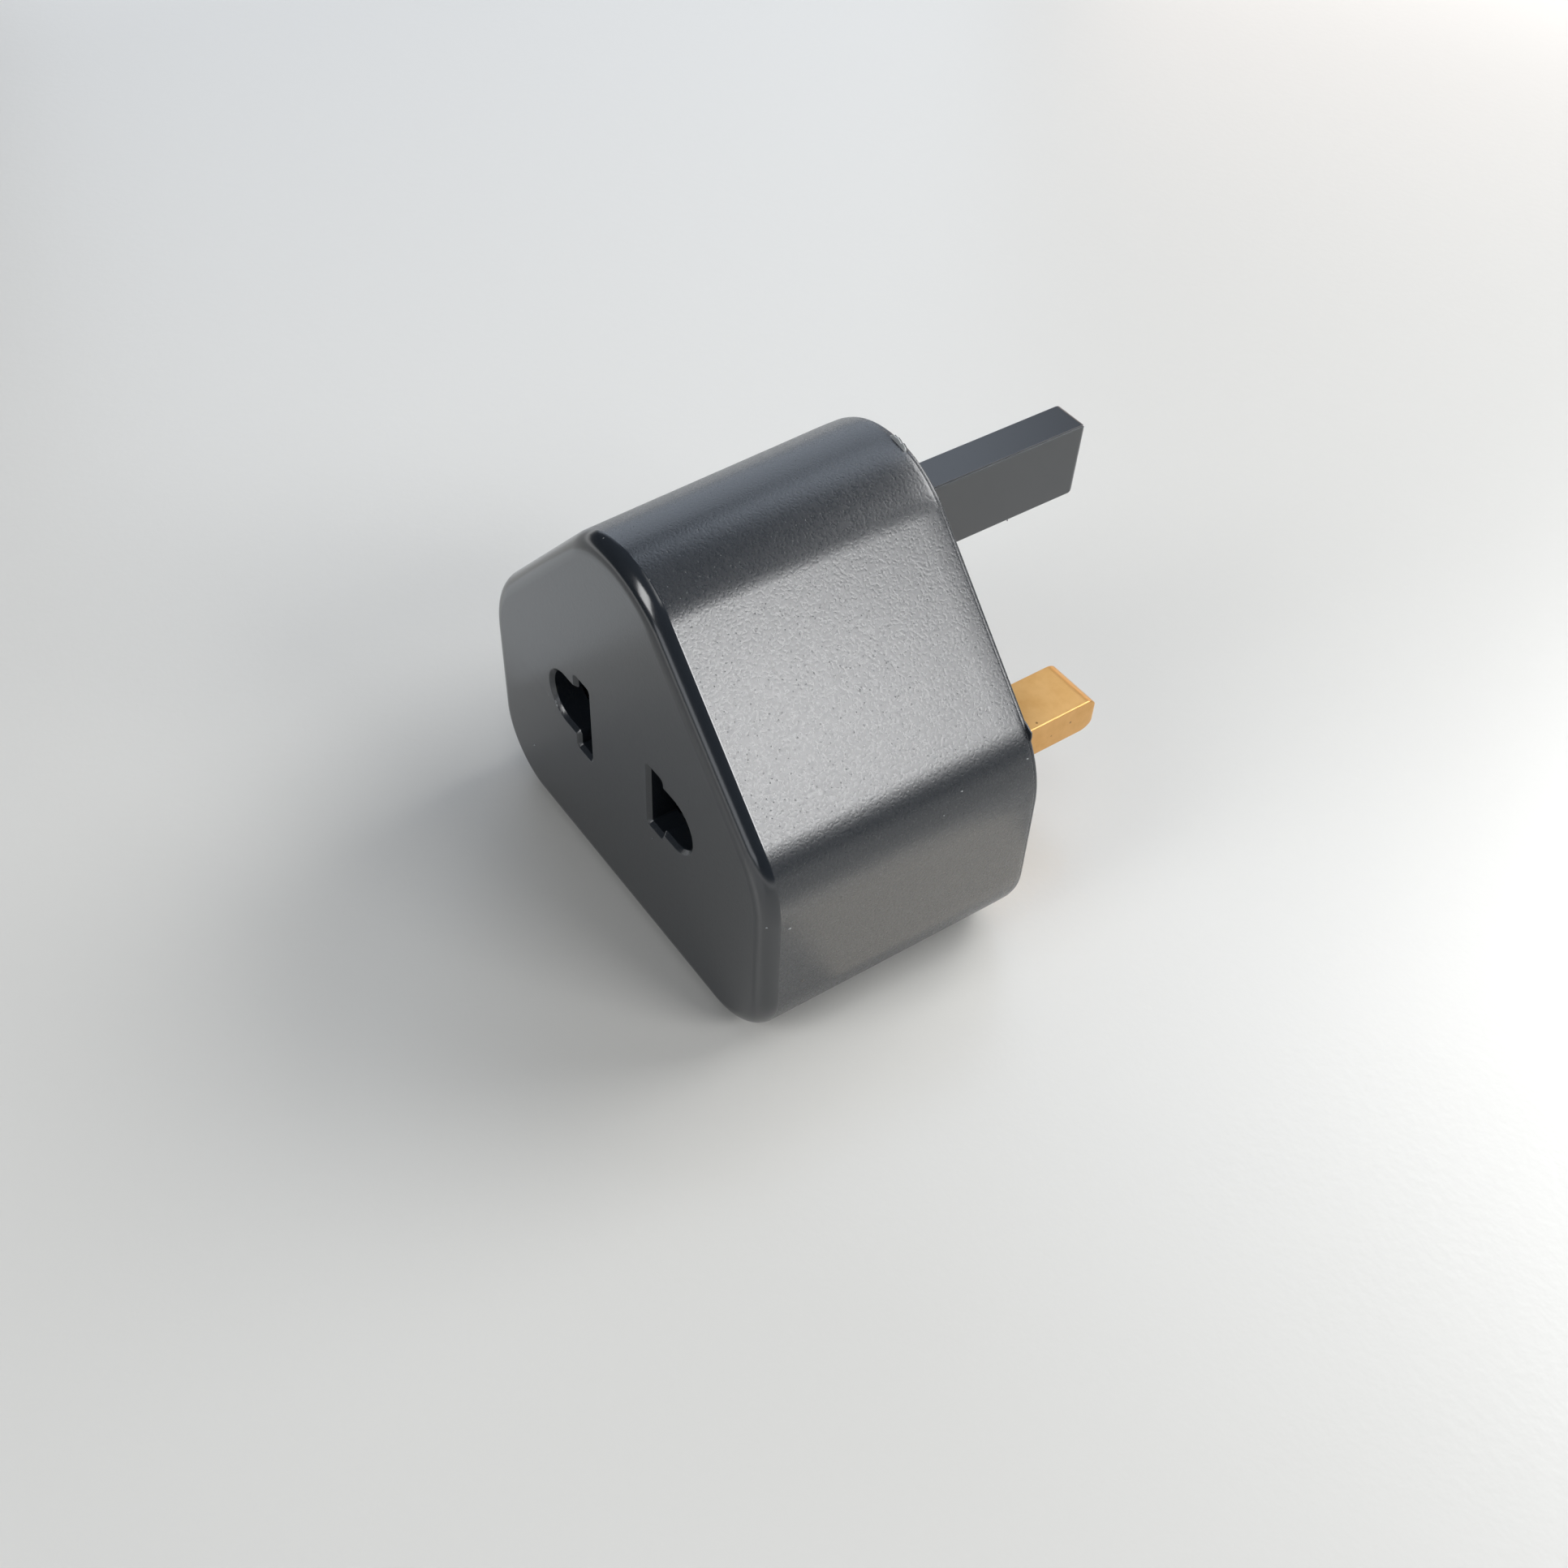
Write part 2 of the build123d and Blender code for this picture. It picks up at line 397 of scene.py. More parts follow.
def stretch(
    loop: np.ndarray, start: Sequence[float], end: Sequence[float], divisions: int = 12
) -> np.ndarray:
    """Takes the part of an outline between two places.

    Args:
        loop: The outline's points.
        start: Place across and upwards where the part starts.
        end: Place where it ends, further on in the outline's order.
        divisions: Equal parts that each side of the outline is cut into first.

    Returns:
        The points of the part, with its ends moved to the outline's nearest points.
    """
    sides = zip(loop, np.roll(loop, -1, axis=0))
    dense = np.concatenate([np.linspace(a, b, divisions, endpoint=False) for a, b in sides])
    ways = [np.linalg.norm(dense - np.array(place), axis=1) for place in (start, end)]
    first, last = (int(np.argmin(way)) for way in ways)
    return dense[first : last + 1]


class MeshDraft:
    """Gathers the vertices and faces of one piece, ring by ring, before it becomes a mesh."""

    sharp_angle: float = math.radians(32)
    foot: float = 0.05 * MM
    weld: float = MICRON / 10
    fin_depths: tuple[float, ...] = (0.0, 0.35, 0.8, 1.0)

    def __init__(self) -> None:
        """Starts with nothing drawn."""
        self.points: list[tuple[float, float, float]] = []
        self.faces: list[tuple[int, ...]] = []
        self.marks: dict[str, list[float]] = {POLISH: [], SCUFF_AND_HIGHLIGHT: []}
        self.creases: set[frozenset[int]] = set()

    def ring(
        self,
        loop: np.ndarray,
        y: float | np.ndarray,
        polish: float = 0.0,
        scuff: float | np.ndarray = 0.0,
    ) -> list[int]:
        """Adds a closed loop of points that face the pins' direction.

        Args:
            loop: Its points across and upwards.
            y: Depth of the loop, or of each point.
            polish: How far the mould was polished there, from 0 to 1.
            scuff: Pale mark there from 0 to 1, for scuffs, dust and painted highlight, or below 0 where it
                is soiled.

        Returns:
            The numbers of the new vertices.
        """
        start, count = len(self.points), len(loop)
        depths = np.broadcast_to(y, count)
        self.points.extend((float(x), float(depth), float(z)) for (x, z), depth in zip(loop, depths))
        for name, value in ((POLISH, polish), (SCUFF_AND_HIGHLIGHT, scuff)):
            self.marks[name].extend(np.broadcast_to(value, count).tolist())
        return list(range(start, start + count))

    def crease(self, ring: Sequence[int]) -> None:
        """Keeps the edges of a ring sharp.

        Args:
            ring: Its vertices in order.
        """
        self.creases.update(frozenset(pair) for pair in zip(ring, [*ring[1:], ring[0]]))

    def bridge(self, *rings: Sequence[int]) -> None:
        """Joins each ring to the next one by a band of four-sided faces.

        Args:
            rings: Rings with the same number of vertices, in order.
        """
        for low, high in zip(rings, rings[1:]):
            for i in range(len(low)):
                j = (i + 1) % len(low)
                self.faces.append((low[i], low[j], high[j], high[i]))

    def plate(self, outer: Sequence[int], *holes: Sequence[int]) -> None:
        """Closes a flat outline and leaves its holes open.

        Args:
            outer: Ring round the plate.
            holes: Rings round the holes in it.
        """
        loops = [outer, *holes]
        numbers = [number for loop in loops for number in loop]
        places = [[Vector(self.points[number]) for number in loop] for loop in loops]
        self.faces.extend(tuple(numbers[i] for i in corner) for corner in tessellate_polygon(places))

    def prism(self, outer: np.ndarray, holes: Sequence[np.ndarray], start: float, end: float) -> None:
        """Adds a closed block with straight walls along the pins.

        Args:
            outer: Outline of the block.
            holes: Outlines of the holes that run through it.
            start: Depth of its first end.
            end: Depth of its other end.
        """
        near = [self.ring(loop, start) for loop in (outer, *holes)]
        far = [self.ring(loop, end) for loop in (outer, *holes)]
        for first, second in zip(near, far):
            self.bridge(first, second)
        self.plate(*near)
        self.plate(*far)

    def stack(self, loops: Sequence[tuple[np.ndarray, float]], polish: float = 0.0) -> None:
        """Adds a closed body through a row of outlines.

        Args:
            loops: Outlines with the same number of points, each with its depth.
            polish: How far the mould was polished there, from 0 to 1.
        """
        rings = [self.ring(loop, y, polish) for loop, y in loops]
        self.bridge(*rings)
        self.plate(rings[0])
        self.plate(rings[-1])

    def lump(self, centre: Sequence[float], size: Sequence[float], scuff: float = 0.0) -> None:
        """Adds a small eight-sided grain.

        Args:
            centre: Its middle.
            size: How far it reaches from there along each axis.
            scuff: Pale mark of dust on its surface from 0 to 1, or below 0 where it is soiled.
        """
        start = len(self.points)
        for axis in range(3):
            for way in (-1, 1):
                point = [float(value) for value in centre]
                point[axis] += way * size[axis]
                self.points.append(tuple(point))
        self.marks[POLISH].extend([0.0] * 6)
        self.marks[SCUFF_AND_HIGHLIGHT].extend([scuff] * 6)
        self.faces.extend(
            (start + x, start + 2 + y, start + 4 + z) for x in (0, 1) for y in (0, 1) for z in (0, 1)
        )

    def fin(
        self, path: np.ndarray, heights: Sequence[float], start: float, end: float, scuff: float = 0.0
    ) -> None:
        """Adds a ragged fin of flash that stands on an outline.

        Args:
            path: Points of the outline under the fin, in the outline's order.
            heights: Height of the fin at equal steps along that stretch.
            start: Depth of its front foot.
            end: Depth of its rear foot.
            scuff: Pale scuffing of its front side.
        """
        lengths = np.concatenate(([0], np.cumsum(np.linalg.norm(np.diff(path, axis=0), axis=1))))
        steps = np.linspace(0, lengths[-1], len(heights))
        places = np.stack([np.interp(steps, lengths, path[:, axis]) for axis in (0, 1)], axis=1)
        along = np.gradient(places, axis=0)
        outward = np.stack((along[:, 1], -along[:, 0]), axis=1)
        outward /= np.linalg.norm(outward, axis=1)[:, None]
        depths = start + (end - start) * np.array(self.fin_depths)
        sections = []
        for place, way, height in zip(places, outward, heights):
            corners = np.array([place + way * rise for rise in (-self.foot, height, height, -self.foot)])
            sections.append(self.ring(corners, depths, 0.0, np.array((scuff, scuff, 0, 0))))
        self.bridge(*sections)
        self.faces.extend((tuple(sections[0]), tuple(sections[-1])))

    def build(
        self, name: str, material: bpy.types.Material, slot: Slot, replaces: Sequence[str] = ()
    ) -> bpy.types.Object:
        """Turns the draft into a piece that rides on the adapter's body.

        Args:
            name: Name of the piece.
            material: Its finish.
            slot: The record's material slot that it belongs to; not used.
            replaces: CAD nodes that it stands for.

        Returns:
            The finished object.
        """
        mesh = bpy.data.meshes.new(name)
        mesh.from_pydata(self.points, [], self.faces)
        for mark, values in self.marks.items():
            mesh.attributes.new(mark, "FLOAT", "POINT").data.foreach_set("value", values)
        work = bmesh.new()
        work.from_mesh(mesh)
        for edge in work.edges:
            edge.smooth = frozenset(vertex.index for vertex in edge.verts) not in self.creases
        bmesh.ops.remove_doubles(work, verts=work.verts, dist=self.weld)
        bmesh.ops.recalc_face_normals(work, faces=work.faces)
        for face in work.faces:
            face.smooth = True
        for edge in work.edges:
            edge.smooth = edge.smooth and edge.calc_face_angle(0.0) < self.sharp_angle
        work.to_mesh(mesh)
        work.free()
        mesh.materials.append(material)
        piece = bpy.data.objects.new(name, mesh)
        bpy.context.scene.collection.objects.link(piece)
        even = piece.modifiers.new("even_normals", "WEIGHTED_NORMAL")
        even.keep_sharp = True
        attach(piece, BODY)
        if replaces:
            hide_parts(*replaces)
        return piece


@dataclass(frozen=True)
class Finish(ABC):
    """A real material with the surface that its making leaves."""

    name: str

    def material(self) -> bpy.types.Material:
        """Makes the material.

        Returns:
            A material whose nodes feed one principled shader.
        """
        material = bpy.data.materials.new(self.name)
        material.use_nodes = True
        tree = material.node_tree
        tree.nodes.clear()
        shader = add_node(tree, "ShaderNodeBsdfPrincipled")
        add_node(tree, "ShaderNodeOutputMaterial", inputs={"Surface": shader.outputs["BSDF"]})
        place = add_node(tree, "ShaderNodeTexCoord").outputs["Object"]
        self.wire(tree, shader, place)
        return material

    @abstractmethod
    def wire(self, tree: Tree, shader: bpy.types.Node, place: Socket) -> None:
        """Feeds the shader with this finish.

        Args:
            tree: Node tree of the material.
            shader: Its principled shader.
            place: Socket with the point on the object in metres.
        """


@dataclass(frozen=True)
class MouldedAbs(Finish):
    """Charcoal ABS, injection moulded against spark-eroded steel.

    The steel's shallow craters print a satin skin. It spreads a light into a broad glow that is
    broken by pin-point glints and pits, and it turns smooth and darker where the mould was polished.
    """

    colour: str = "#191E24"
    pale_colour: str = "#23272C"
    # Pale colour of dust and scuffs, also painted on an aperture's chamfer as a highlight
    worn_colour: str = "#A4A7A8"
    soiled_colour: str = "#2B241C"
    ior: float = 1.8
    roughness: float = 0.22
    polished_roughness: float = 0.17
    uneven: float = 0.12
    spark: float = 0.25 * MM
    spark_depth: float = 20 * MICRON
    pit: float = 0.5 * MM
    pit_reach: float = 0.13
    pit_depth: float = 28 * MICRON
    sink: float = 9 * MM
    sink_detail: float = 1.0
    sink_depth: float = 14 * MICRON
    flow: float = 14 * MM
    detail: float = 3.0
    mark_start: float = 0.95
    mark_full: float = 1.2

    def wire(self, tree: Tree, shader: bpy.types.Node, place: Socket) -> None:
        """Feeds the shader with the moulded skin.

        Args:
            tree: Node tree of the material.
            shader: Its principled shader.
            place: Socket with the point on the object in metres.
        """
        polish, scuff = (
            add_node(tree, "ShaderNodeAttribute", {"attribute_name": mark}).outputs["Fac"]
            for mark in (POLISH, SCUFF_AND_HIGHLIGHT)
        )
        flow = noise(tree, place, self.flow, self.detail)
        spark = noise(tree, place, self.spark, self.detail)
        sink = noise(tree, place, self.sink, self.sink_detail)
        cell = cells(tree, place, self.pit)
        pit = remap(tree, cell, (0.0, self.pit_reach), (-1.0, 0.0), "SMOOTHSTEP")

        # Slow change of shade where the melt flowed, with scuffs, dust and soil broken up by the grain; the
        # same pale colour also paints a highlight on an aperture's chamfer
        shade = blend(tree, flow, linear(self.colour), linear(self.pale_colour))
        for sign, colour in ((1.0, self.worn_colour), (-1.0, self.soiled_colour)):
            broken = add_node(
                tree, "ShaderNodeMath", {"operation": "MULTIPLY_ADD"}, {0: scuff, 1: sign, 2: spark}
            ).outputs[0]
            share = remap(tree, broken, (self.mark_start, self.mark_full))
            shade = blend(tree, share, shade, linear(colour))

        # Polish closes the grain and makes the skin glossier
        grain = add_node(
            tree, "ShaderNodeMath", {"operation": "SUBTRACT", "use_clamp": True}, {0: 1.0, 1: polish}
        ).outputs[0]
        gloss = remap(tree, polish, after=(self.roughness, self.polished_roughness))
        for share in (spark, scuff):
            spread = add_node(
                tree, "ShaderNodeMath", {"operation": "MULTIPLY", "use_clamp": True}, {0: share, 1: grain}
            ).outputs[0]
            gloss = add_node(
                tree, "ShaderNodeMath", {"operation": "MULTIPLY_ADD"}, {0: spread, 1: self.uneven, 2: gloss}
            ).outputs[0]

        # Sink of the cooling wall, craters of the spark erosion and single deeper pits
        skin = bump(tree, sink, self.sink_depth)
        skin = bump(tree, spark, self.spark_depth, skin, grain)
        skin = bump(tree, pit, self.pit_depth, skin, grain)
        shader.inputs["IOR"].default_value = self.ior
        tree.links.new(shade, shader.inputs["Base Color"])
        tree.links.new(gloss, shader.inputs["Roughness"])
        tree.links.new(skin, shader.inputs["Normal"])


@dataclass(frozen=True)
class DrawnBrass(Finish):
    """Brass bar, drawn through a die, cut and tumbled.

    Drawing leaves faint lines along the bar, and tumbling dulls them to a satin gold with small
    dents and a little brown tarnish.
    """

    colour: str = "#DDAD6E"
    tarnish_colour: str = "#CC9A58"
    fleck_colour: str = "#7A5630"
    smoothest: float = 0.272
    dullest: float = 0.442
    line: float = 0.07 * MM
    line_length: float = 3.5 * MM
    line_depth: float = 2 * MICRON
    dent: float = 0.6 * MM
    dent_depth: float = 9 * MICRON
    tarnish: float = 2.4 * MM
    tarnish_detail: float = 5.0
    tarnish_roughness: float = 0.6
    tarnish_start: float = 0.4
    tarnish_full: float = 0.75
    fleck: float = 1.9 * MM
    fleck_core: float = 0.05
    fleck_rim: float = 0.09
    deepest: float = 0.8

    def wire(self, tree: Tree, shader: bpy.types.Node, place: Socket) -> None:
        """Feeds the shader with the drawn and tumbled metal.

        Args:
            tree: Node tree of the material.
            shader: Its principled shader.
            place: Socket with the point on the object in metres.
        """
        tarnish = noise(tree, place, self.tarnish, self.tarnish_detail, self.tarnish_roughness)
        amount = remap(tree, tarnish, (self.tarnish_start, self.tarnish_full), (0.0, self.deepest))
        shade = blend(tree, amount, linear(self.colour), linear(self.tarnish_colour))
        cell = cells(tree, place, self.fleck)
        fleck = remap(tree, cell, (self.fleck_core, self.fleck_rim), (self.deepest, 0.0))
        shade = blend(tree, fleck, shade, linear(self.fleck_colour))
        dull = remap(tree, tarnish, after=(self.smoothest, self.dullest))
        stretch = (1 / self.line, 1 / self.line_length, 1 / self.line)
        along = add_node(tree, "ShaderNodeMapping", inputs={"Vector": place, "Scale": stretch}).outputs[0]
        drawn = bump(tree, noise(tree, along, 1.0), self.line_depth)
        tumbled = bump(tree, noise(tree, place, self.dent), self.dent_depth, drawn)
        shader.inputs["Metallic"].default_value = 1.0
        tree.links.new(shade, shader.inputs["Base Color"])
        tree.links.new(dull, shader.inputs["Roughness"])
        tree.links.new(tumbled, shader.inputs["Normal"])


@dataclass(frozen=True)
class RolledBrass(Finish):
    """Spring brass strip, cold rolled and stamped.

    The rolls leave a bright, even skin with fine lines up the strip, which shines in narrow streaks
    where the strip is bent.
    """

    colour: str = "#D8B66A"
    dull_colour: str = "#C09A52"
    roughness: float = 0.28
    line: float = 0.05 * MM
    line_length: float = 2 * MM
    line_depth: float = 1.5 * MICRON

    def wire(self, tree: Tree, shader: bpy.types.Node, place: Socket) -> None:
        """Feeds the shader with the rolled metal.

        Args:
            tree: Node tree of the material.
            shader: Its principled shader.
            place: Socket with the point on the object in metres.
        """
        stretch = (1 / self.line, 1 / self.line, 1 / self.line_length)
        along = add_node(tree, "ShaderNodeMapping", inputs={"Vector": place, "Scale": stretch}).outputs[0]
        lines = noise(tree, along, 1.0)
        shade = blend(tree, lines, linear(self.colour), linear(self.dull_colour))
        rolled = bump(tree, lines, self.line_depth)
        shader.inputs["Metallic"].default_value = 1.0
        shader.inputs["Roughness"].default_value = self.roughness
        tree.links.new(shade, shader.inputs["Base Color"])
        tree.links.new(rolled, shader.inputs["Normal"])


@dataclass(frozen=True)
class ZincPlate(Finish):
    """Steel screw, cold headed and zinc plated.

    The plating is a thin bluish silver skin with a soft sparkle, duller in some patches.
    """

    colour: str = "#C4C8CC"
    dull_colour: str = "#9DA2A8"
    roughness: float = 0.3
    patch: float = 0.8 * MM
    patch_detail: float = 4.0
    spangle: float = 0.12 * MM
    spangle_depth: float = 3 * MICRON

    def wire(self, tree: Tree, shader: bpy.types.Node, place: Socket) -> None:
        """Feeds the shader with the plated metal.

        Args:
            tree: Node tree of the material.
            shader: Its principled shader.
            place: Socket with the point on the object in metres.
        """
        patch = noise(tree, place, self.patch, self.patch_detail)
        shade = blend(tree, patch, linear(self.colour), linear(self.dull_colour))
        plated = bump(tree, cells(tree, place, self.spangle), self.spangle_depth)
        shader.inputs["Metallic"].default_value = 1.0
        shader.inputs["Roughness"].default_value = self.roughness
        tree.links.new(shade, shader.inputs["Base Color"])
        tree.links.new(plated, shader.inputs["Normal"])


@dataclass(frozen=True)
class PaintedBoard(Finish):
    """Smooth board with satin white paint, for the floor.

    Roller paint is even, with hardly any change of shade, and a satin one lightly mirrors what
    stands on it.
    """

    colour: str = "#DAD9D5"
    roughness: float = 0.3
    ior: float = 1.6
    stipple: float = 1.2 * MM
    stipple_depth: float = 20 * MICRON
    fade_start: float = 200 * MM
    fade_end: float = 480 * MM

    def wire(self, tree: Tree, shader: bpy.types.Node, place: Socket) -> None:
        """Feeds the shader with the painted board.

        Args:
            tree: Node tree of the material.
            shader: Its principled shader.
            place: Socket with the point on the object in metres.
        """
        rolled = bump(tree, noise(tree, place, self.stipple), self.stipple_depth)
        shader.inputs["Base Color"].default_value = linear(self.colour)
        shader.inputs["Roughness"].default_value = self.roughness
        shader.inputs["IOR"].default_value = self.ior
        tree.links.new(rolled, shader.inputs["Normal"])

        # Far from the adapter the eye, and what mirrors the floor, sees it run out into plain white
        seen = seen_by(tree, "Is Camera Ray", "Is Glossy Ray")
        reach = add_node(tree, "ShaderNodeVectorMath", {"operation": "LENGTH"}, {0: place}).outputs["Value"]
        white = remap(tree, reach, (self.fade_start, self.fade_end), (0.0, seen), "SMOOTHSTEP")
        shader.inputs["Emission Color"].default_value = linear(WHITE)
        tree.links.new(white, shader.inputs["Emission Strength"])


@dataclass(frozen=True)
class BodyShape:
    """Roof-shaped outline that the housing and its cover share, with the draft of the mould."""

    front: float
    rim: float
    rear: float
    half_width: float
    height: float
    flank_angle: float = math.radians(46.3)
    corner_radius: float = 9.0 * MM
    shoulder_radius: float = 12.1 * MM
    apex_radius: float = 11.2 * MM
    edge_radius: float = 2.0 * MM
    edge_turn: float = math.radians(79)
    draft: float = 1.0 * MM
    roll_length: float = 2.6 * MM
    roll_depth: float = 0.07 * MM
    arc_steps: int = 20
    divisions: int = 12

    @classmethod
    def from_frame(cls) -> "BodyShape":
        """Takes the body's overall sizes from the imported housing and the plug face.

        Returns:
            The shape at the CAD model's size.
        """
        low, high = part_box("housing")
        rear = mount_place("plug_face").y
        growth = cls.draft * (rear - high.y) / (rear - low.y)
        return cls(low.y, high.y, rear, high.x + growth, high.z + growth)

    @property
    def edge_end(self) -> float:
        """Depth at which the front edge's rounding meets the sides in a faint crease."""
        return self.front + self.edge_radius * (1 - math.cos(self.edge_turn))

    def draft_at(self, y: float) -> float:
        """Gives how far the mould's draft has moved the sides in.

        Args:
            y: Depth along the pins.

        Returns:
            The inset of the sides there.
        """
        return self.draft * (self.rear - y) / (self.rear - self.front)

    def roll_at(self, y: float) -> float:
        """Gives how far the sides sink in just before the rim.

        Args:
            y: Depth along the pins.

        Returns:
            The inset of the sides there, on top of the draft.
        """
        share = 1 - (self.rim - y) / self.roll_length
        return self.roll_depth * min(max(share, 0.0), 1.0) ** 2

    def outline(self, side_inset: float, base_inset: float) -> np.ndarray:
        """Draws the outline, moved in by some distance.

        Args:
            side_inset: How far the sides, flanks and apex are moved in.
            base_inset: How far the base is moved up.

        Returns:
            The outline's points across and upwards.
        """
        half = self.half_width - side_inset
        sharp = self.height + self.apex_radius * (1 / math.cos(self.flank_angle) - 1)
        peak = sharp - side_inset / math.cos(self.flank_angle)
        shoulder = peak - half * math.tan(self.flank_angle)
        corner = self.corner_radius - side_inset
        bend = self.shoulder_radius - side_inset
        crown = self.apex_radius - side_inset
        return rounded_loop(
            [
                Corner(-half, base_inset, corner, self.arc_steps),
                Corner(half, base_inset, corner, self.arc_steps),
                Corner(half, shoulder, bend, self.arc_steps),
                Corner(0, peak, crown, 2 * self.arc_steps),
                Corner(-half, shoulder, bend, self.arc_steps),
            ],
            self.divisions,
        )

    def section(self, y: float, inset: float = 0.0) -> np.ndarray:
        """Draws the outline at a depth behind the front edge.

        Args:
            y: Depth along the pins.
            inset: Further distance that it is moved in.

        Returns:
            The outline's points across and upwards.
        """
        return self.outline(inset + self.draft_at(y) + self.roll_at(y), inset)

    def edge_section(self, angle: float) -> tuple[np.ndarray, float]:
        """Draws the outline on the rounding of the front edge.

        Args:
            angle: Turn from the front face, where it is zero, to the sides.

        Returns:
            The outline's points and their depth.
        """
        inset = self.edge_radius * (math.sin(self.edge_turn) - math.sin(angle))
        side = self.draft_at(self.edge_end) + inset
        return self.outline(side, inset), self.front + self.edge_radius * (1 - math.cos(angle))


@dataclass(frozen=True)
class Aperture:
    """Keyed opening in the socket face: a round hole and a blade slot joined by a strip."""

    pole: Pole
    height: float
    round_x: float
    slot_length: float
    round_radius: float = 2.8 * MM
    slot_x: float = 6.35 * MM
    slot_width: float = 2.2 * MM
    mould_radius: float = 0.15 * MM
    step_radius: float = 0.5 * MM
    lead_in: float = 0.4 * MM
    edge_break: float = 0.09 * MM
    polish: float = 0.4
    corner_steps: int = 6
    round_steps: int = 18
    break_steps: int = 3
    # Spot on the chamfer painted pale, for scuffs and a painted highlight, and how far that reaches
    worn_place: tuple[float, float] = (0.0, 0.0)
    worn_reach: float = 0.0

    def worn(self, loop: np.ndarray) -> np.ndarray:
        """Gives how pale the points of an outline are painted near one spot: scuffs by plug pins that
        missed the hole, with a painted highlight where the chamfer catches the light.

        Args:
            loop: Its points across and upwards.

        Returns:
            The pale mark of each point, scuff and painted highlight, from 0 to 1.
        """
        far = np.linalg.norm(loop - np.array(self.worn_place), axis=1)
        return np.clip(1 - far / max(self.worn_reach, MICRON), 0, 1)

    def outline(self, grow: float) -> np.ndarray:
        """Draws the opening, made larger all round by some distance.

        Args:
            grow: Distance that it is moved out.

        Returns:
            The opening's points across and upwards.
        """
        inner = self.slot_x - self.slot_width / 2 - grow
        outer = self.slot_x + self.slot_width / 2 + grow
        far = self.round_x + self.round_radius + grow
        half_slot = self.slot_length / 2 + grow
        half_round = self.round_radius + grow
        corner = self.mould_radius + grow
        step = self.step_radius - grow
        few, many = self.corner_steps, self.round_steps
        upper = (
            (far, half_round, half_round, many),
            (outer, half_round, step, few),
            (outer, half_slot, corner, few),
            (inner, half_slot, corner, few),
        )
        lower = [(u, -v, radius, steps) for u, v, radius, steps in reversed(upper)]
        places = (*lower, *upper)
        side = self.pole.value
        ordered = places if side > 0 else places[::-1]
        return rounded_loop([Corner(side * u, self.height + v, r, n) for u, v, r, n in ordered])

    def cut(self, draft: MeshDraft, face: float, inner_face: float) -> tuple[list[int], list[int]]:
        """Adds the walls of the opening to a shell.

        Args:
            draft: Mesh draft of the shell.
            face: Depth of the socket face.
            inner_face: Depth of the face behind it.

        Returns:
            The rings at the mouth and at the inner end, which the two faces leave open.
        """
        profile = rounded_path(
            [
                Corner(self.lead_in + self.edge_break, face),
                Corner(self.lead_in, face, self.edge_break, self.break_steps),
                Corner(0, face + self.lead_in, self.edge_break, self.break_steps),
                Corner(0, inner_face),
            ]
        )
        rings = []
        for grow, y in profile:
            loop = self.outline(grow)
            # Pale mark on the lead-in chamfer: scuffs, and a painted highlight where the chamfer catches
            # the light
            scuff = self.worn(loop) if grow > self.edge_break else 0.0
            rings.append(draft.ring(loop, y, self.polish, scuff))
        draft.bridge(*rings)
        return rings[0], rings[-1]


@dataclass(frozen=True)
class Flash:
    """Ragged flash that the mould left on a stretch of an outline.

    Its ends are places on the outline, and its feet lie in front of and behind the outline's edge.
    """

    heights: tuple[float, ...]
    start: tuple[float, float]
    end: tuple[float, float]
    front: float
    rear: float
    scuff: float = 0.0

    def tear(self, draft: MeshDraft, loop: np.ndarray, edge: float) -> None:
        """Adds the flash to a piece.

        Args:
            draft: Mesh draft of the piece.
            loop: Outline that the flash stands on.
            edge: Depth of that outline.
        """
        path = stretch(loop, self.start, self.end)
        heights = [height * MM for height in self.heights]
        draft.fin(path, heights, edge + self.front, edge + self.rear, self.scuff)


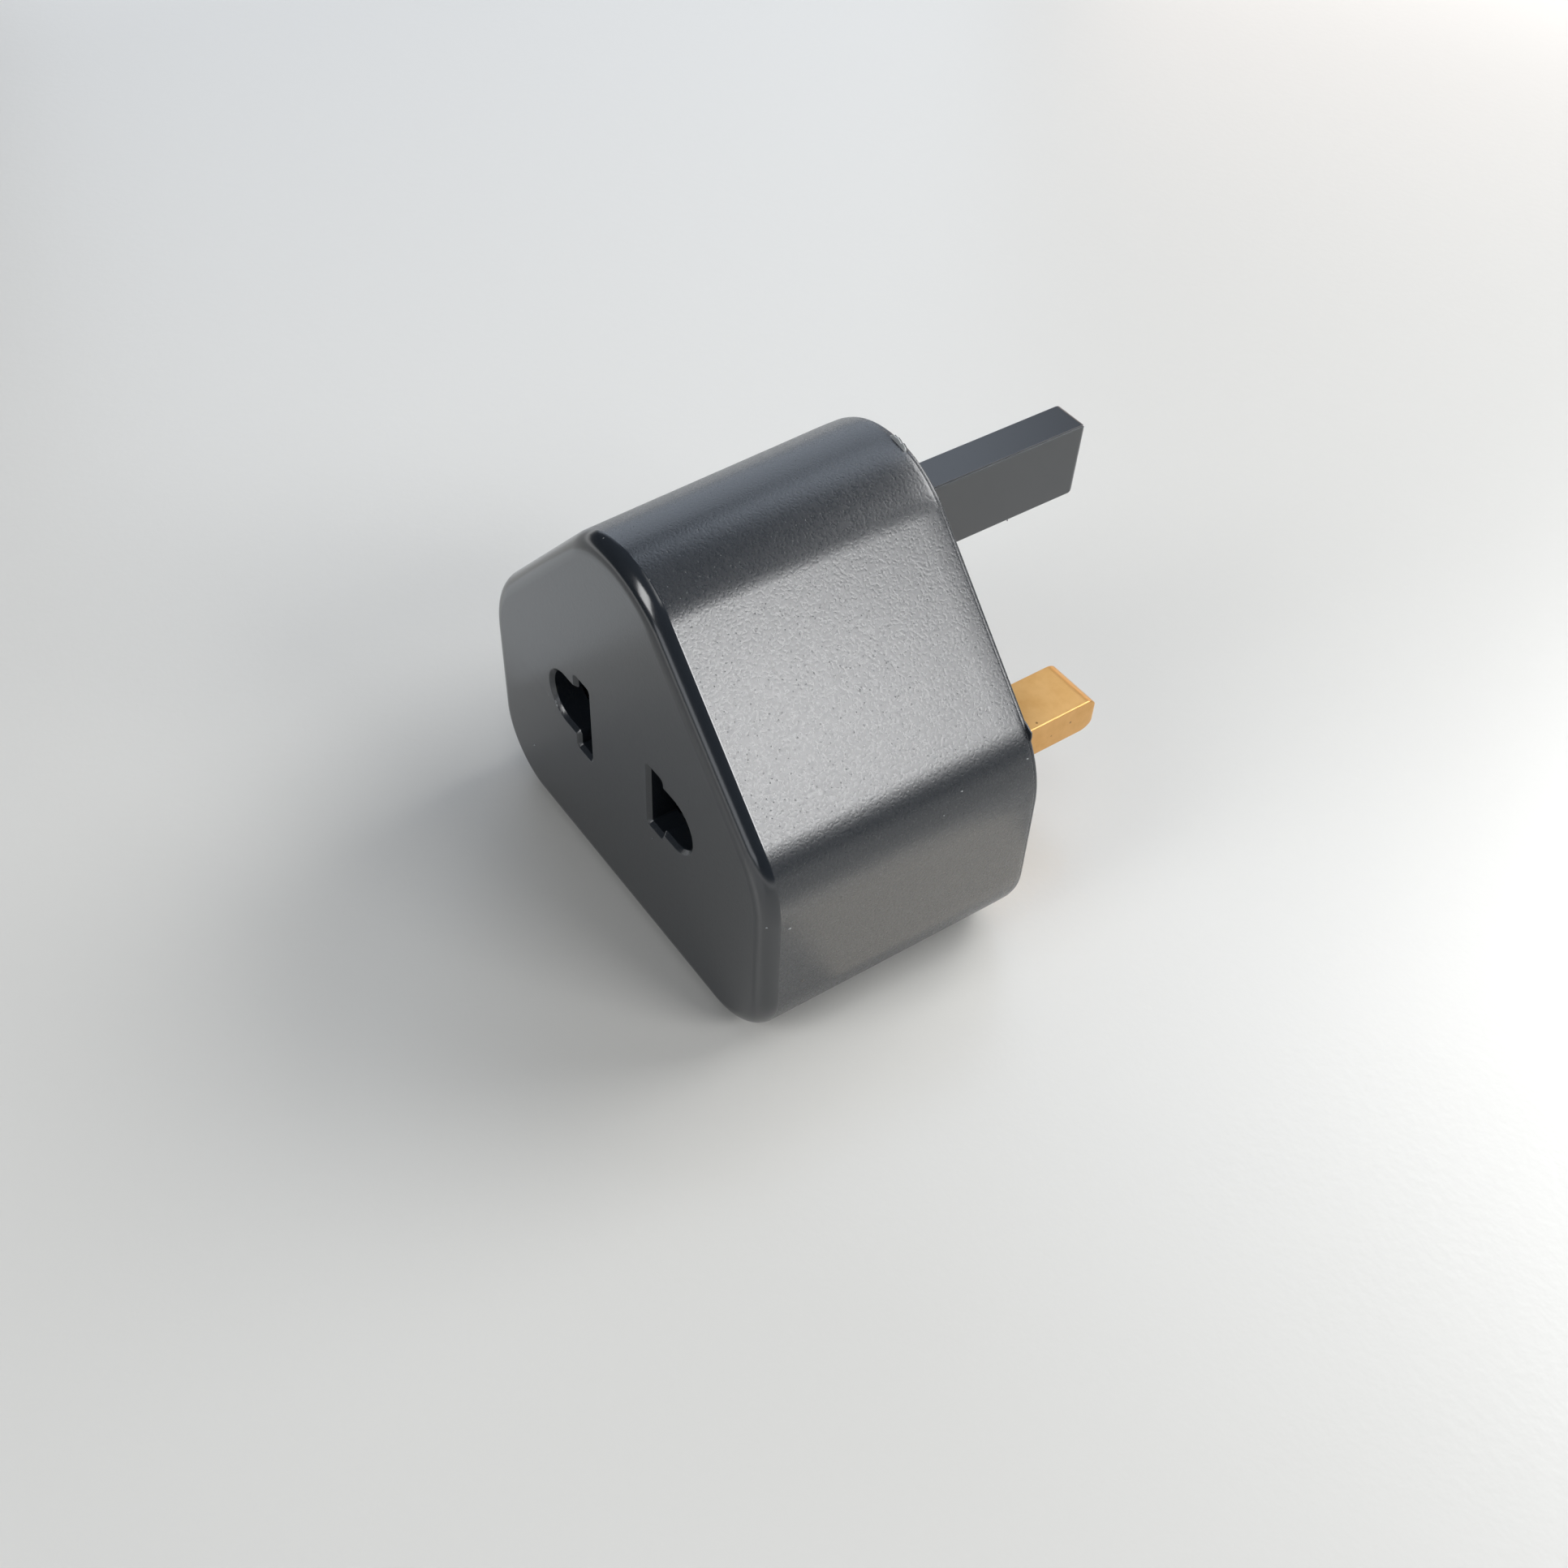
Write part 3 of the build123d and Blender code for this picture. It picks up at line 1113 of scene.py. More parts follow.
@dataclass(frozen=True)
class Housing:
    """Front shell: drafted walls, socket face with two keyed apertures, and the seats inside."""

    shape: BodyShape
    side_wall: float = 2.0 * MM
    face_wall: float = 3.0 * MM
    rib_wall: float = 1.0 * MM
    rim_radius: float = 0.15 * MM
    root: float = 0.2 * MM
    spine_depth: float = 7.0 * MM
    cage_size: float = 11.2 * MM
    cage_x: float = 8.625 * MM
    cage_depth: float = 16.0 * MM
    thrust_outer: float = 2.9 * MM
    thrust_inner: float = 2.1 * MM
    thrust_end: float = 8.95 * MM
    boss_outer: float = 3.5 * MM
    boss_inner: float = 1.48 * MM
    boss_end: float = 8.75 * MM
    boss_height: float = 22.0 * MM
    pilot_start: float = -3.35 * MM
    live_slot: float = 7.35 * MM
    neutral_slot: float = 8.9 * MM
    edge_steps: int = 16
    side_steps: int = 8
    roll_steps: int = 6
    polish_end: float = 0.12 * MM
    face_polish: float = 0.4
    # Spot on the chamfer of the left round hole that is painted pale: scuffs, and a painted highlight where
    # the chamfer catches the light
    worn_place: tuple[float, float] = (-11.3 * MM, 17.5 * MM)
    worn_reach: float = 1.1 * MM
    specks: tuple[tuple[float, float, float], ...] = (
        (23.58, 6.43, 23.94),
        (24.08, 4.19, 22.55),
        (-2.75, -13.64, 43.31),
        (23.54, -14.29, 18.9),
        (24.18, -12.32, 18.1),
        (-17.23, -14.85, 6.66),
        (-8.4, -14.84, 1.79),
        (5.78, -14.85, 13.99),
        (23.79, 13.82, 24.07),
    )
    speck_size: float = 0.09 * MM
    speck_change: float = 0.35
    speck_beat: float = 5.1
    speck_shape: tuple[float, float, float] = (1.0, 1.6, 0.8)
    soil: tuple[float, float, float] = (24.24, -10.57, 9.48)
    soil_size: float = 0.22 * MM
    soil_shape: tuple[float, float, float] = (0.25, 1.0, 1.0)
    flash: Flash = Flash(
        heights=(0.0, 0.3, 0.4, 0.24, 0.36, 0.42, 0.3, 0.36, 0.12, 0.0),
        start=(2.5 * MM, 44.5 * MM),
        end=(0.1 * MM, 44.8 * MM),
        front=-0.3 * MM,
        rear=0.15 * MM,
        scuff=1.0,
    )

    def apertures(self) -> list[Aperture]:
        """Places the two apertures where the record has the sockets.

        Returns:
            The live and the neutral aperture.
        """
        lengths = {Pole.LIVE: self.live_slot, Pole.NEUTRAL: self.neutral_slot}
        made = []
        for pole, length in lengths.items():
            place = mount_place(f"{pole.title}_socket")
            # Only the aperture on that spot's side gets the pale scuffs and painted highlight
            worn = self.worn_reach if place.x * self.worn_place[0] > 0 else 0.0
            highlight_and_wear = {"worn_place": self.worn_place, "worn_reach": worn}
            made.append(Aperture(pole, place.z, abs(place.x), length, **highlight_and_wear))
        return made

    def shell(self, draft: MeshDraft) -> None:
        """Adds the shell with its rounded front edge, rim and apertures.

        Args:
            draft: Mesh draft of the housing.
        """
        shape = self.shape
        inner_face = shape.front + self.face_wall
        rings = []
        for step in range(self.edge_steps + 1):
            loop, y = shape.edge_section(shape.edge_turn * step / self.edge_steps)
            rings.append(draft.ring(loop, y, 1.0 if step else self.face_polish))
        draft.crease(rings[-1])
        side_end = shape.rim - self.rim_radius
        roll_start = shape.rim - shape.roll_length
        sides = np.linspace(shape.edge_end + self.polish_end, roll_start, self.side_steps)
        rolls = np.linspace(roll_start, side_end, self.roll_steps + 1)[1:]
        rings.extend(draft.ring(shape.section(y), y) for y in (*sides, *rolls))
        rim = rounded_path(
            [
                Corner(0, side_end),
                Corner(0, shape.rim, self.rim_radius, 4),
                Corner(self.side_wall, shape.rim, self.rim_radius, 2),
                Corner(self.side_wall, inner_face),
            ]
        )
        rings.extend(draft.ring(shape.section(y, inset), y) for inset, y in rim[1:])
        draft.bridge(*rings)
        cuts = [aperture.cut(draft, shape.front, inner_face) for aperture in self.apertures()]
        draft.plate(rings[0], *(mouth for mouth, _ in cuts))
        draft.plate(rings[-1], *(end for _, end in cuts))

    def seats(self, draft: MeshDraft) -> None:
        """Adds the spine, the cages, the thrust tubes and the screw boss behind the face.

        Args:
            draft: Mesh draft of the housing.
        """
        shape = self.shape
        inner_face = shape.front + self.face_wall
        root = inner_face - self.root
        low, high = self.side_wall / 2, shape.height - shape.draft - self.side_wall / 2
        spine = rectangle(0, (low + high) / 2, self.rib_wall, high - low)
        draft.prism(spine, (), root, inner_face + self.spine_depth)
        for pole in Pole:
            socket = mount_place(f"{pole.title}_socket")
            pin = mount_place(f"{pole.title}_pin")
            place = (pole.value * self.cage_x, socket.z)
            clear = self.cage_size - 2 * self.rib_wall
            cage = rectangle(*place, self.cage_size, self.cage_size)
            draft.prism(cage, [rectangle(*place, clear, clear)], root, inner_face + self.cage_depth)
            tube = circle(pin.x, pin.z, self.thrust_outer)
            draft.prism(tube, [circle(pin.x, pin.z, self.thrust_inner)], root, self.thrust_end)
        boss = circle(0, self.boss_height, self.boss_outer)
        draft.prism(boss, (), root, self.pilot_start)
        pilot = circle(0, self.boss_height, self.boss_inner)
        draft.prism(boss, [pilot], self.pilot_start, self.boss_end)

    def traces(self, draft: MeshDraft) -> None:
        """Adds the dust, the soiled spot and the torn flash at the rim near the apex.

        Args:
            draft: Mesh draft of the housing.
        """
        for number, place in enumerate(self.specks):
            reach = self.speck_size * (1 + self.speck_change * math.sin(self.speck_beat * number))
            draft.lump(Vector(place) * MM, Vector(self.speck_shape) * reach, 1.0)
        draft.lump(Vector(self.soil) * MM, Vector(self.soil_shape) * self.soil_size, -1.0)
        rim = self.shape.rim
        self.flash.tear(draft, self.shape.section(rim), rim)

    def build(self, abs_skin: bpy.types.Material) -> bpy.types.Object:
        """Builds the housing.

        Args:
            abs_skin: Its finish.

        Returns:
            The piece that stands for the housing.
        """
        draft = MeshDraft()
        self.shell(draft)
        self.seats(draft)
        self.traces(draft)
        return draft.build("housing_shell", abs_skin, Slot.ABS, ["housing"])


@dataclass(frozen=True)
class RearCover:
    """Rear cover: thin lip, spigot, pin wells, screw boss and the plastic earth pin."""

    shape: BodyShape
    thickness: float = 3.0 * MM
    lip_setback: float = 0.08 * MM
    lip_round: float = 0.3 * MM
    spigot_radius: float = 0.12 * MM
    spigot_inset: float = 2.1 * MM
    slot_width: float = 6.45 * MM
    slot_height: float = 4.1 * MM
    slot_radius: float = 0.3 * MM
    hole_edge: float = 0.1 * MM
    screw_height: float = 22.0 * MM
    bore_radius: float = 3.2 * MM
    bore_depth: float = 3.2 * MM
    hole_radius: float = 1.65 * MM
    boss_radius: float = 3.7 * MM
    boss_length: float = 3.0 * MM
    well_width: float = 8.4 * MM
    well_height: float = 6.0 * MM
    well_depth: float = 1.5 * MM
    rib_wall: float = 1.0 * MM
    rib_depth: float = 2.0 * MM
    root: float = 0.2 * MM
    pin_width: float = 4.0 * MM
    pin_height: float = 8.0 * MM
    pin_edge: float = 0.22 * MM
    witness_step: float = 0.12 * MM
    witness_ledge: float = 0.15 * MM
    tip_round: float = 0.6 * MM
    tip_bevel: float = 0.35 * MM
    tip_bevel_height: float = 1.6 * MM
    witness_radius: float = 0.03 * MM
    pin_polish: float = 0.8
    bore_points: int = 64
    nib: tuple[float, float, float] = (1.95, 28.57, 30.2)
    nib_shape: tuple[float, float, float] = (0.08 * MM, 0.08 * MM, 0.16 * MM)
    flash: Flash = Flash(
        heights=(0.0, 0.3, 0.5, 0.34, 0.22, 0.0),
        start=(23.3 * MM, 25.4 * MM),
        end=(22.0 * MM, 26.9 * MM),
        front=-0.32 * MM,
        rear=-0.06 * MM,
    )

    def panel(self, draft: MeshDraft) -> None:
        """Adds the plate with its lip, spigot, pin slots, counterbore and screw boss.

        Args:
            draft: Mesh draft of the cover.
        """
        shape = self.shape
        inner = shape.rear - self.thickness
        lip = self.lip_setback
        profile = rounded_path(
            [
                Corner(self.spigot_inset + self.spigot_radius, inner),
                Corner(self.spigot_inset, inner, self.spigot_radius, 2),
                Corner(self.spigot_inset, shape.rim),
                Corner(lip, shape.rim),
                Corner(lip, shape.rear, self.lip_round, 7),
                Corner(lip + 2 * self.lip_round, shape.rear),
            ]
        )
        rings = [draft.ring(shape.section(y, inset), y) for inset, y in profile]
        draft.bridge(*rings)
        inner_holes, rear_holes = [], []
        for pole in Pole:
            pin = mount_place(f"{pole.title}_pin")
            path = ((0, inner), (0, shape.rear - self.hole_edge), (self.hole_edge, shape.rear))
            walls = []
            for grow, y in path:
                width, height = self.slot_width + 2 * grow, self.slot_height + 2 * grow
                walls.append(draft.ring(rectangle(pin.x, pin.z, width, height, self.slot_radius), y))
            draft.bridge(*walls)
            inner_holes.append(walls[0])
            rear_holes.append(walls[-1])
        boss = rounded_path(
            [
                Corner(self.boss_radius, inner),
                Corner(self.boss_radius, inner - self.boss_length, self.spigot_radius, 2),
                Corner(self.hole_radius, inner - self.boss_length),
                Corner(self.hole_radius, shape.rear - self.bore_depth),
                Corner(self.bore_radius, shape.rear - self.bore_depth),
                Corner(self.bore_radius, shape.rear, self.hole_edge, 3),
                Corner(self.bore_radius + 2 * self.hole_edge, shape.rear),
            ]
        )
        walls = []
        for radius, y in boss:
            walls.append(draft.ring(circle(0, self.screw_height, radius, self.bore_points), y))
        draft.bridge(*walls)
        draft.plate(rings[0], *inner_holes, walls[0])
        draft.plate(rings[-1], *rear_holes, walls[-1])

    def ribs(self, draft: MeshDraft) -> None:
        """Adds the wells round the pin collars and the rib up to the earth pin.

        Args:
            draft: Mesh draft of the cover.
        """
        inner = self.shape.rear - self.thickness
        for pole in Pole:
            pin = mount_place(f"{pole.title}_pin")
            walls = 2 * self.rib_wall
            outer = rectangle(pin.x, pin.z, self.well_width + walls, self.well_height + walls)
            well = rectangle(pin.x, pin.z, self.well_width, self.well_height)
            draft.prism(outer, [well], inner - self.well_depth, inner + self.root)
        low = self.screw_height + (self.hole_radius + self.boss_radius) / 2
        high = mount_place("earth_pin").z + self.pin_height / 2
        rib = rectangle(0, (low + high) / 2, self.rib_wall, high - low)
        draft.prism(rib, (), inner - self.rib_depth, inner + self.root)

    def pin_section(self, centre_z: float, inset: float) -> np.ndarray:
        """Draws the earth pin's section, with the steps where the two mould halves met.

        Args:
            centre_z: Height of its centre.
            inset: Distance that it is moved in.

        Returns:
            The section's points across and upwards.
        """
        half = self.pin_width / 2 - inset
        low = centre_z - self.pin_height / 2 + inset
        high = centre_z + self.pin_height / 2 - inset
        ledge, step, fine = half - self.witness_ledge, high - self.witness_step, self.witness_radius
        right = ((half, low, self.pin_edge), (half, step, fine), (ledge, step, fine), (ledge, high, fine))
        left = [(-u, v, radius) for u, v, radius in reversed(right)]
        return rounded_loop([Corner(u, v, radius, 4) for u, v, radius in (*right, *left)])

    def earth_pin(self, draft: MeshDraft) -> None:
        """Adds the earth pin with a rounded tip, whose lower end slopes back.

        Args:
            draft: Mesh draft of the cover.
        """
        centre = mount_place("earth_pin")
        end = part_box("rear_cover")[1].y
        root = self.shape.rear - self.root
        profile = rounded_path(
            [
                Corner(0, root),
                Corner(0, end, self.tip_round, 8),
                Corner(self.tip_round + self.pin_edge, end),
            ]
        )
        bevel_top = centre.z - self.pin_height / 2 + self.tip_bevel_height
        loops = []
        for inset, y in profile:
            loop = self.pin_section(centre.z, inset)
            below = np.clip((bevel_top - loop[:, 1]) / self.tip_bevel_height, 0, 1)
            loops.append((loop, y - self.tip_bevel * below if y > root else y))
        draft.stack(loops, self.pin_polish)

    def traces(self, draft: MeshDraft) -> None:
        """Adds the nib on the earth pin and the torn flash on the lip.

        Args:
            draft: Mesh draft of the cover.
        """
        draft.lump(Vector(self.nib) * MM, self.nib_shape)
        rear = self.shape.rear
        self.flash.tear(draft, self.shape.section(rear, self.lip_setback), rear)

    def build(self, abs_skin: bpy.types.Material) -> bpy.types.Object:
        """Builds the cover.

        Args:
            abs_skin: Its finish.

        Returns:
            The piece that stands for the rear cover.
        """
        draft = MeshDraft()
        self.panel(draft)
        self.ribs(draft)
        self.earth_pin(draft)
        self.traces(draft)
        return draft.build("rear_cover_moulding", abs_skin, Slot.ABS, ["rear_cover"])


@dataclass(frozen=True)
class BrassPin:
    """Solid plug pin: nosed blade, collar behind the cover, riveting stub and peened head."""

    pole: Pole
    cover_inner: float
    width: float = 6.35 * MM
    thickness: float = 4.0 * MM
    edge_radius: float = 0.15 * MM
    nose_radius: float = 1.5 * MM
    low_nose_radius: float = 1.8 * MM
    corner_radius: float = 0.5 * MM
    collar_width: float = 8.2 * MM
    collar_height: float = 5.8 * MM
    collar_thickness: float = 1.5 * MM
    stub_radius: float = 1.2 * MM
    stub_length: float = 1.0 * MM
    head_radius: float = 1.8 * MM
    head_height: float = 0.9 * MM
    nose_steps: int = 16

    def blade(self, draft: MeshDraft) -> None:
        """Adds the collar and the blade with its rounded nose.

        Args:
            draft: Mesh draft of the pin.
        """
        centre = mount_place(f"{self.pole.title}_pin")
        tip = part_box(f"{self.pole.title}_pin")[1].y
        nose = tip - self.low_nose_radius
        collar = self.cover_inner - self.collar_thickness
        stations = [
            (self.collar_width, self.collar_height, 0.0, collar),
            (self.collar_width, self.collar_height, 0.0, self.cover_inner),
            (self.width, self.thickness, 0.0, self.cover_inner),
            (self.width, self.thickness, 0.0, nose),
        ]
        for step in range(1, self.nose_steps + 1):
            y = nose + self.low_nose_radius * math.sin(math.pi / 2 * step / self.nose_steps)
            top, low, cut = (
                radius - math.sqrt(max(0.0, radius**2 - max(0.0, y - (tip - radius)) ** 2))
                for radius in (self.nose_radius, self.low_nose_radius, self.corner_radius)
            )
            stations.append((self.width - 2 * cut, self.thickness - top - low, (low - top) / 2, y))
        draft.stack(
            [
                (rectangle(centre.x, centre.z + shift, width, height, self.edge_radius, 5), y)
                for width, height, shift, y in stations
            ]
        )

    def rivet(self, draft: MeshDraft) -> None:
        """Adds the stub that holds the strips and its peened head.

        Args:
            draft: Mesh draft of the pin.
        """
        centre = mount_place(f"{self.pole.title}_pin")
        start = self.cover_inner - self.collar_thickness
        under = start - self.stub_length
        top = under - self.head_height
        profile = rounded_path(
            [
                Corner(self.stub_radius, start + self.edge_radius),
                Corner(self.stub_radius, under),
                Corner(self.head_radius, under),
                Corner(self.head_radius, top, self.head_height / 2, 6),
                Corner(self.stub_radius, top),
            ]
        )
        draft.stack([(circle(centre.x, centre.z, radius), y) for radius, y in profile])

    def build(self, brass: bpy.types.Material) -> bpy.types.Object:
        """Builds the pin.

        Args:
            brass: Its finish.

        Returns:
            The piece that stands for the pin.
        """
        draft = MeshDraft()
        self.blade(draft)
        self.rivet(draft)
        node = f"{self.pole.title}_pin"
        return draft.build(f"{node}_brass", brass, Slot.PIN, [node])


@dataclass(frozen=True)
class CoverScrew:
    """Self-tapping screw with a pan head, a tapered cross recess and a rolled thread."""

    height: float = 22.0 * MM
    core_radius: float = 1.1 * MM
    crest_radius: float = 1.45 * MM
    pitch: float = 1.1 * MM
    head_radius: float = 2.75 * MM
    head_height: float = 1.9 * MM
    head_rounding: float = 0.95 * MM
    tip_length: float = 1.6 * MM
    recess_length: float = 3.0 * MM
    recess_width: float = 0.7 * MM
    recess_depth: float = 1.1 * MM
    recess_taper: float = 0.16 * MM
    recess_root: float = 0.02 * MM
    recess_tip: float = 0.08 * MM
    seat_edge: float = 0.1 * MM
    crown_share: float = 1.05
    ridge_share: float = 0.28
    tip_share: float = 0.45
    thread_points: int = 40
    rings_a_pitch: int = 10

    def cross(self, shrink: float) -> np.ndarray:
        """Draws the cross recess, made smaller by some distance.

        Args:
            shrink: Distance that its walls are moved in.

        Returns:
            The recess's points across and upwards.
        """
        long, wide = self.recess_length / 2 - shrink * 2, self.recess_width / 2 - shrink
        wing = [(wide, -wide), (long, -wide), (long, wide)]
        radii = (self.recess_root, self.recess_tip, self.recess_tip)
        quarter_turn = np.array(((0, -1), (1, 0)))
        corners = []
        for quarter in range(4):
            turn = np.linalg.matrix_power(quarter_turn, quarter)
            for (u, v), radius in zip(wing, radii):
                x, z = turn @ np.array((u, v))
                corners.append(Corner(x, self.height + z, radius, 3))
        return rounded_loop(corners)

    def head(self, draft: MeshDraft, seat: float) -> None:
        """Adds the pan head with its recess.

        Args:
            draft: Mesh draft of the screw.
            seat: Depth of the face that the head bears on.
        """
        top = seat + self.head_height
        profile = rounded_path(
            [
                Corner(self.core_radius, seat),
                Corner(self.head_radius, seat, self.seat_edge, 2),
                Corner(self.head_radius, top, self.head_rounding, 10),
                Corner(self.head_radius - self.crown_share * self.head_rounding, top),
            ]
        )
        rings = [draft.ring(circle(0, self.height, radius), y) for radius, y in profile]
        draft.bridge(*rings)
        draft.plate(rings[0])
        mouth = draft.ring(self.cross(0), top)
        floor = draft.ring(self.cross(self.recess_taper), top - self.recess_depth)
        draft.plate(rings[-1], mouth)
        draft.bridge(mouth, floor)
        draft.plate(floor)

    def shank(self, draft: MeshDraft, seat: float, tip: float) -> None:
        """Adds the threaded shank, which tapers to a blunt tip.

        Args:
            draft: Mesh draft of the screw.
            seat: Depth of the face that the head bears on.
            tip: Depth of the shank's far end.
        """
        count = round((seat - tip) / self.pitch * self.rings_a_pitch)
        angles = np.arange(self.thread_points) * 2 * math.pi / self.thread_points
        rise = self.crest_radius - self.core_radius
        rings = []
        for step in range(count + 1):
            y = tip + (seat - tip) * step / count
            phase = (y / self.pitch - angles / (2 * math.pi)) % 1
            ridge = np.clip(1 - np.abs(phase - 0.5) / self.ridge_share, 0, 1)
            taper = min(1.0, self.tip_share + (1 - self.tip_share) * (y - tip) / self.tip_length)
            radius = taper * (self.core_radius + rise * ridge)
            loop = np.stack((radius * np.cos(angles), self.height + radius * np.sin(angles)), axis=1)
            rings.append(draft.ring(loop, y))
        draft.bridge(*rings)
        draft.plate(rings[0])
        draft.plate(rings[-1])

    def build(self, zinc: bpy.types.Material) -> bpy.types.Object:
        """Builds the screw.

        Args:
            zinc: Its finish.

        Returns:
            The piece that stands for the cover screw.
        """
        low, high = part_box("cover_screw")
        seat = high.y - self.head_height
        draft = MeshDraft()
        self.head(draft, seat)
        self.shank(draft, seat + self.seat_edge, low.y)
        return draft.build("cover_screw_detail", zinc, Slot.SCREW, ["cover_screw"])


@dataclass(frozen=True)
class ContactSprings:
    """Folded contacts and blade springs, which keep their CAD meshes."""

    nodes: tuple[str, ...] = ("contact", "blade_spring")

    def dress(self, strip: bpy.types.Material) -> list[bpy.types.Object]:
        """Gives the strips their finish.

        Args:
            strip: Finish of the rolled strip.

        Returns:
            The CAD objects that were dressed.
        """
        dressed = []
        for pole in Pole:
            for part in self.nodes:
                node = frame["nodes"][f"{pole.title}_{part}"]
                node.data.materials.clear()
                node.data.materials.append(strip)
                dressed.append(node)
        return dressed


def area_lamp(
    name: str, place: Vector, toward: Vector, size: Sequence[float], radiance: float, colour: str
) -> bpy.types.Object:
    """Adds a rectangular lamp that the camera does not see.

    Args:
        name: Its name.
        place: Its centre.
        toward: Direction from what it lights to the lamp.
        size: Its two sides.
        radiance: Its brightness, where a lamp of 1 mirrors as plain white.
        colour: Its colour.

    Returns:
        The lamp's object.
    """
    light = bpy.data.lights.new(name, "AREA")
    light.shape = "RECTANGLE"
    light.size, light.size_y = size
    light.energy = radiance * math.pi * size[0] * size[1]
    light.color = linear(colour)[:3]
    lamp = bpy.data.objects.new(name, light)
    bpy.context.scene.collection.objects.link(lamp)
    lamp.location = place
    lamp.rotation_mode = "QUATERNION"
    lamp.rotation_quaternion = toward.to_track_quat("Z", "Y")
    lamp.visible_camera = False
    return lamp


@dataclass(frozen=True)
class BounceCard:
    """Card that lies beside the adapter and throws light up at it."""

    name: str
    place: tuple[float, float, float]
    size: tuple[float, float]
    radiance: float
    colour: str

    def build(self) -> bpy.types.Object:
        """Lays the card down, lit side up."""
        down = Vector((0, 0, -1))
        return area_lamp(self.name, Vector(self.place), down, self.size, self.radiance, self.colour)


@dataclass(frozen=True)
class SoftPanel:
    """Flat soft light that hangs in the studio and faces the adapter.

    Its azimuth runs from +X towards +Y. Its width and height are angles too, as the adapter sees
    them. All angles are in degrees, and the distance is in metres.
    """

    name: str
    azimuth: float
    elevation: float
    distance: float
    wide: float
    tall: float
    radiance: float
    colour: str = WHITE

    def build(self, target: Vector) -> bpy.types.Object:
        """Hangs the light.

        Args:
            target: Point that the light faces.

        Returns:
            The light's object.
        """
        size = [2 * self.distance * math.tan(math.radians(angle) / 2) for angle in (self.wide, self.tall)]
        turn, rise = math.radians(self.azimuth), math.radians(self.elevation)
        level = math.cos(rise)
        toward = Vector((level * math.cos(turn), level * math.sin(turn), math.sin(rise)))
        place = target + toward * self.distance
        return area_lamp(self.name, place, toward, size, self.radiance, self.colour)


@dataclass(frozen=True)
class PhotoCamera:
    """Camera at the photograph's viewing angle, distance and angle of view.

    The focal length is a share of the picture's side. The sensor is in millimetres, as Blender
    takes it.
    """

    azimuth: float = math.radians(53.207)
    elevation: float = math.radians(46.799)
    roll: float = math.radians(2.684)
    distance: float = 167.791 * MM
    target: tuple[float, float, float] = (11.294 * MM, -4.027 * MM, 20.0 * MM)
    focal_share: float = 2263.657 / PHOTO_SIDE
    sensor: float = 36.0
    nearest: float = 5 * MM
    farthest: float = 10.0

    def build(self) -> bpy.types.Object:
        """Sets up the camera and makes it the scene's own.

        Returns:
            The camera's object.
        """
        lens = bpy.data.cameras.new("photo_camera")
        lens.sensor_width = self.sensor
        lens.lens = self.focal_share * self.sensor
        lens.clip_start, lens.clip_end = self.nearest, self.farthest
        level = math.cos(self.elevation)
        back = Vector(
            (math.sin(self.azimuth) * level, -math.cos(self.azimuth) * level, math.sin(self.elevation))
        )
        right = Vector((0, 0, 1)).cross(back).normalized()
        up = back.cross(right)
        turned_right = right * math.cos(self.roll) + up * math.sin(self.roll)
        turned_up = up * math.cos(self.roll) - right * math.sin(self.roll)
        camera = bpy.data.objects.new("photo_camera", lens)
        bpy.context.scene.collection.objects.link(camera)
        turn = Matrix((turned_right, turned_up, back)).transposed().to_4x4()
        camera.matrix_world = Matrix.Translation(Vector(self.target) + back * self.distance) @ turn
        bpy.context.scene.camera = camera
        return camera


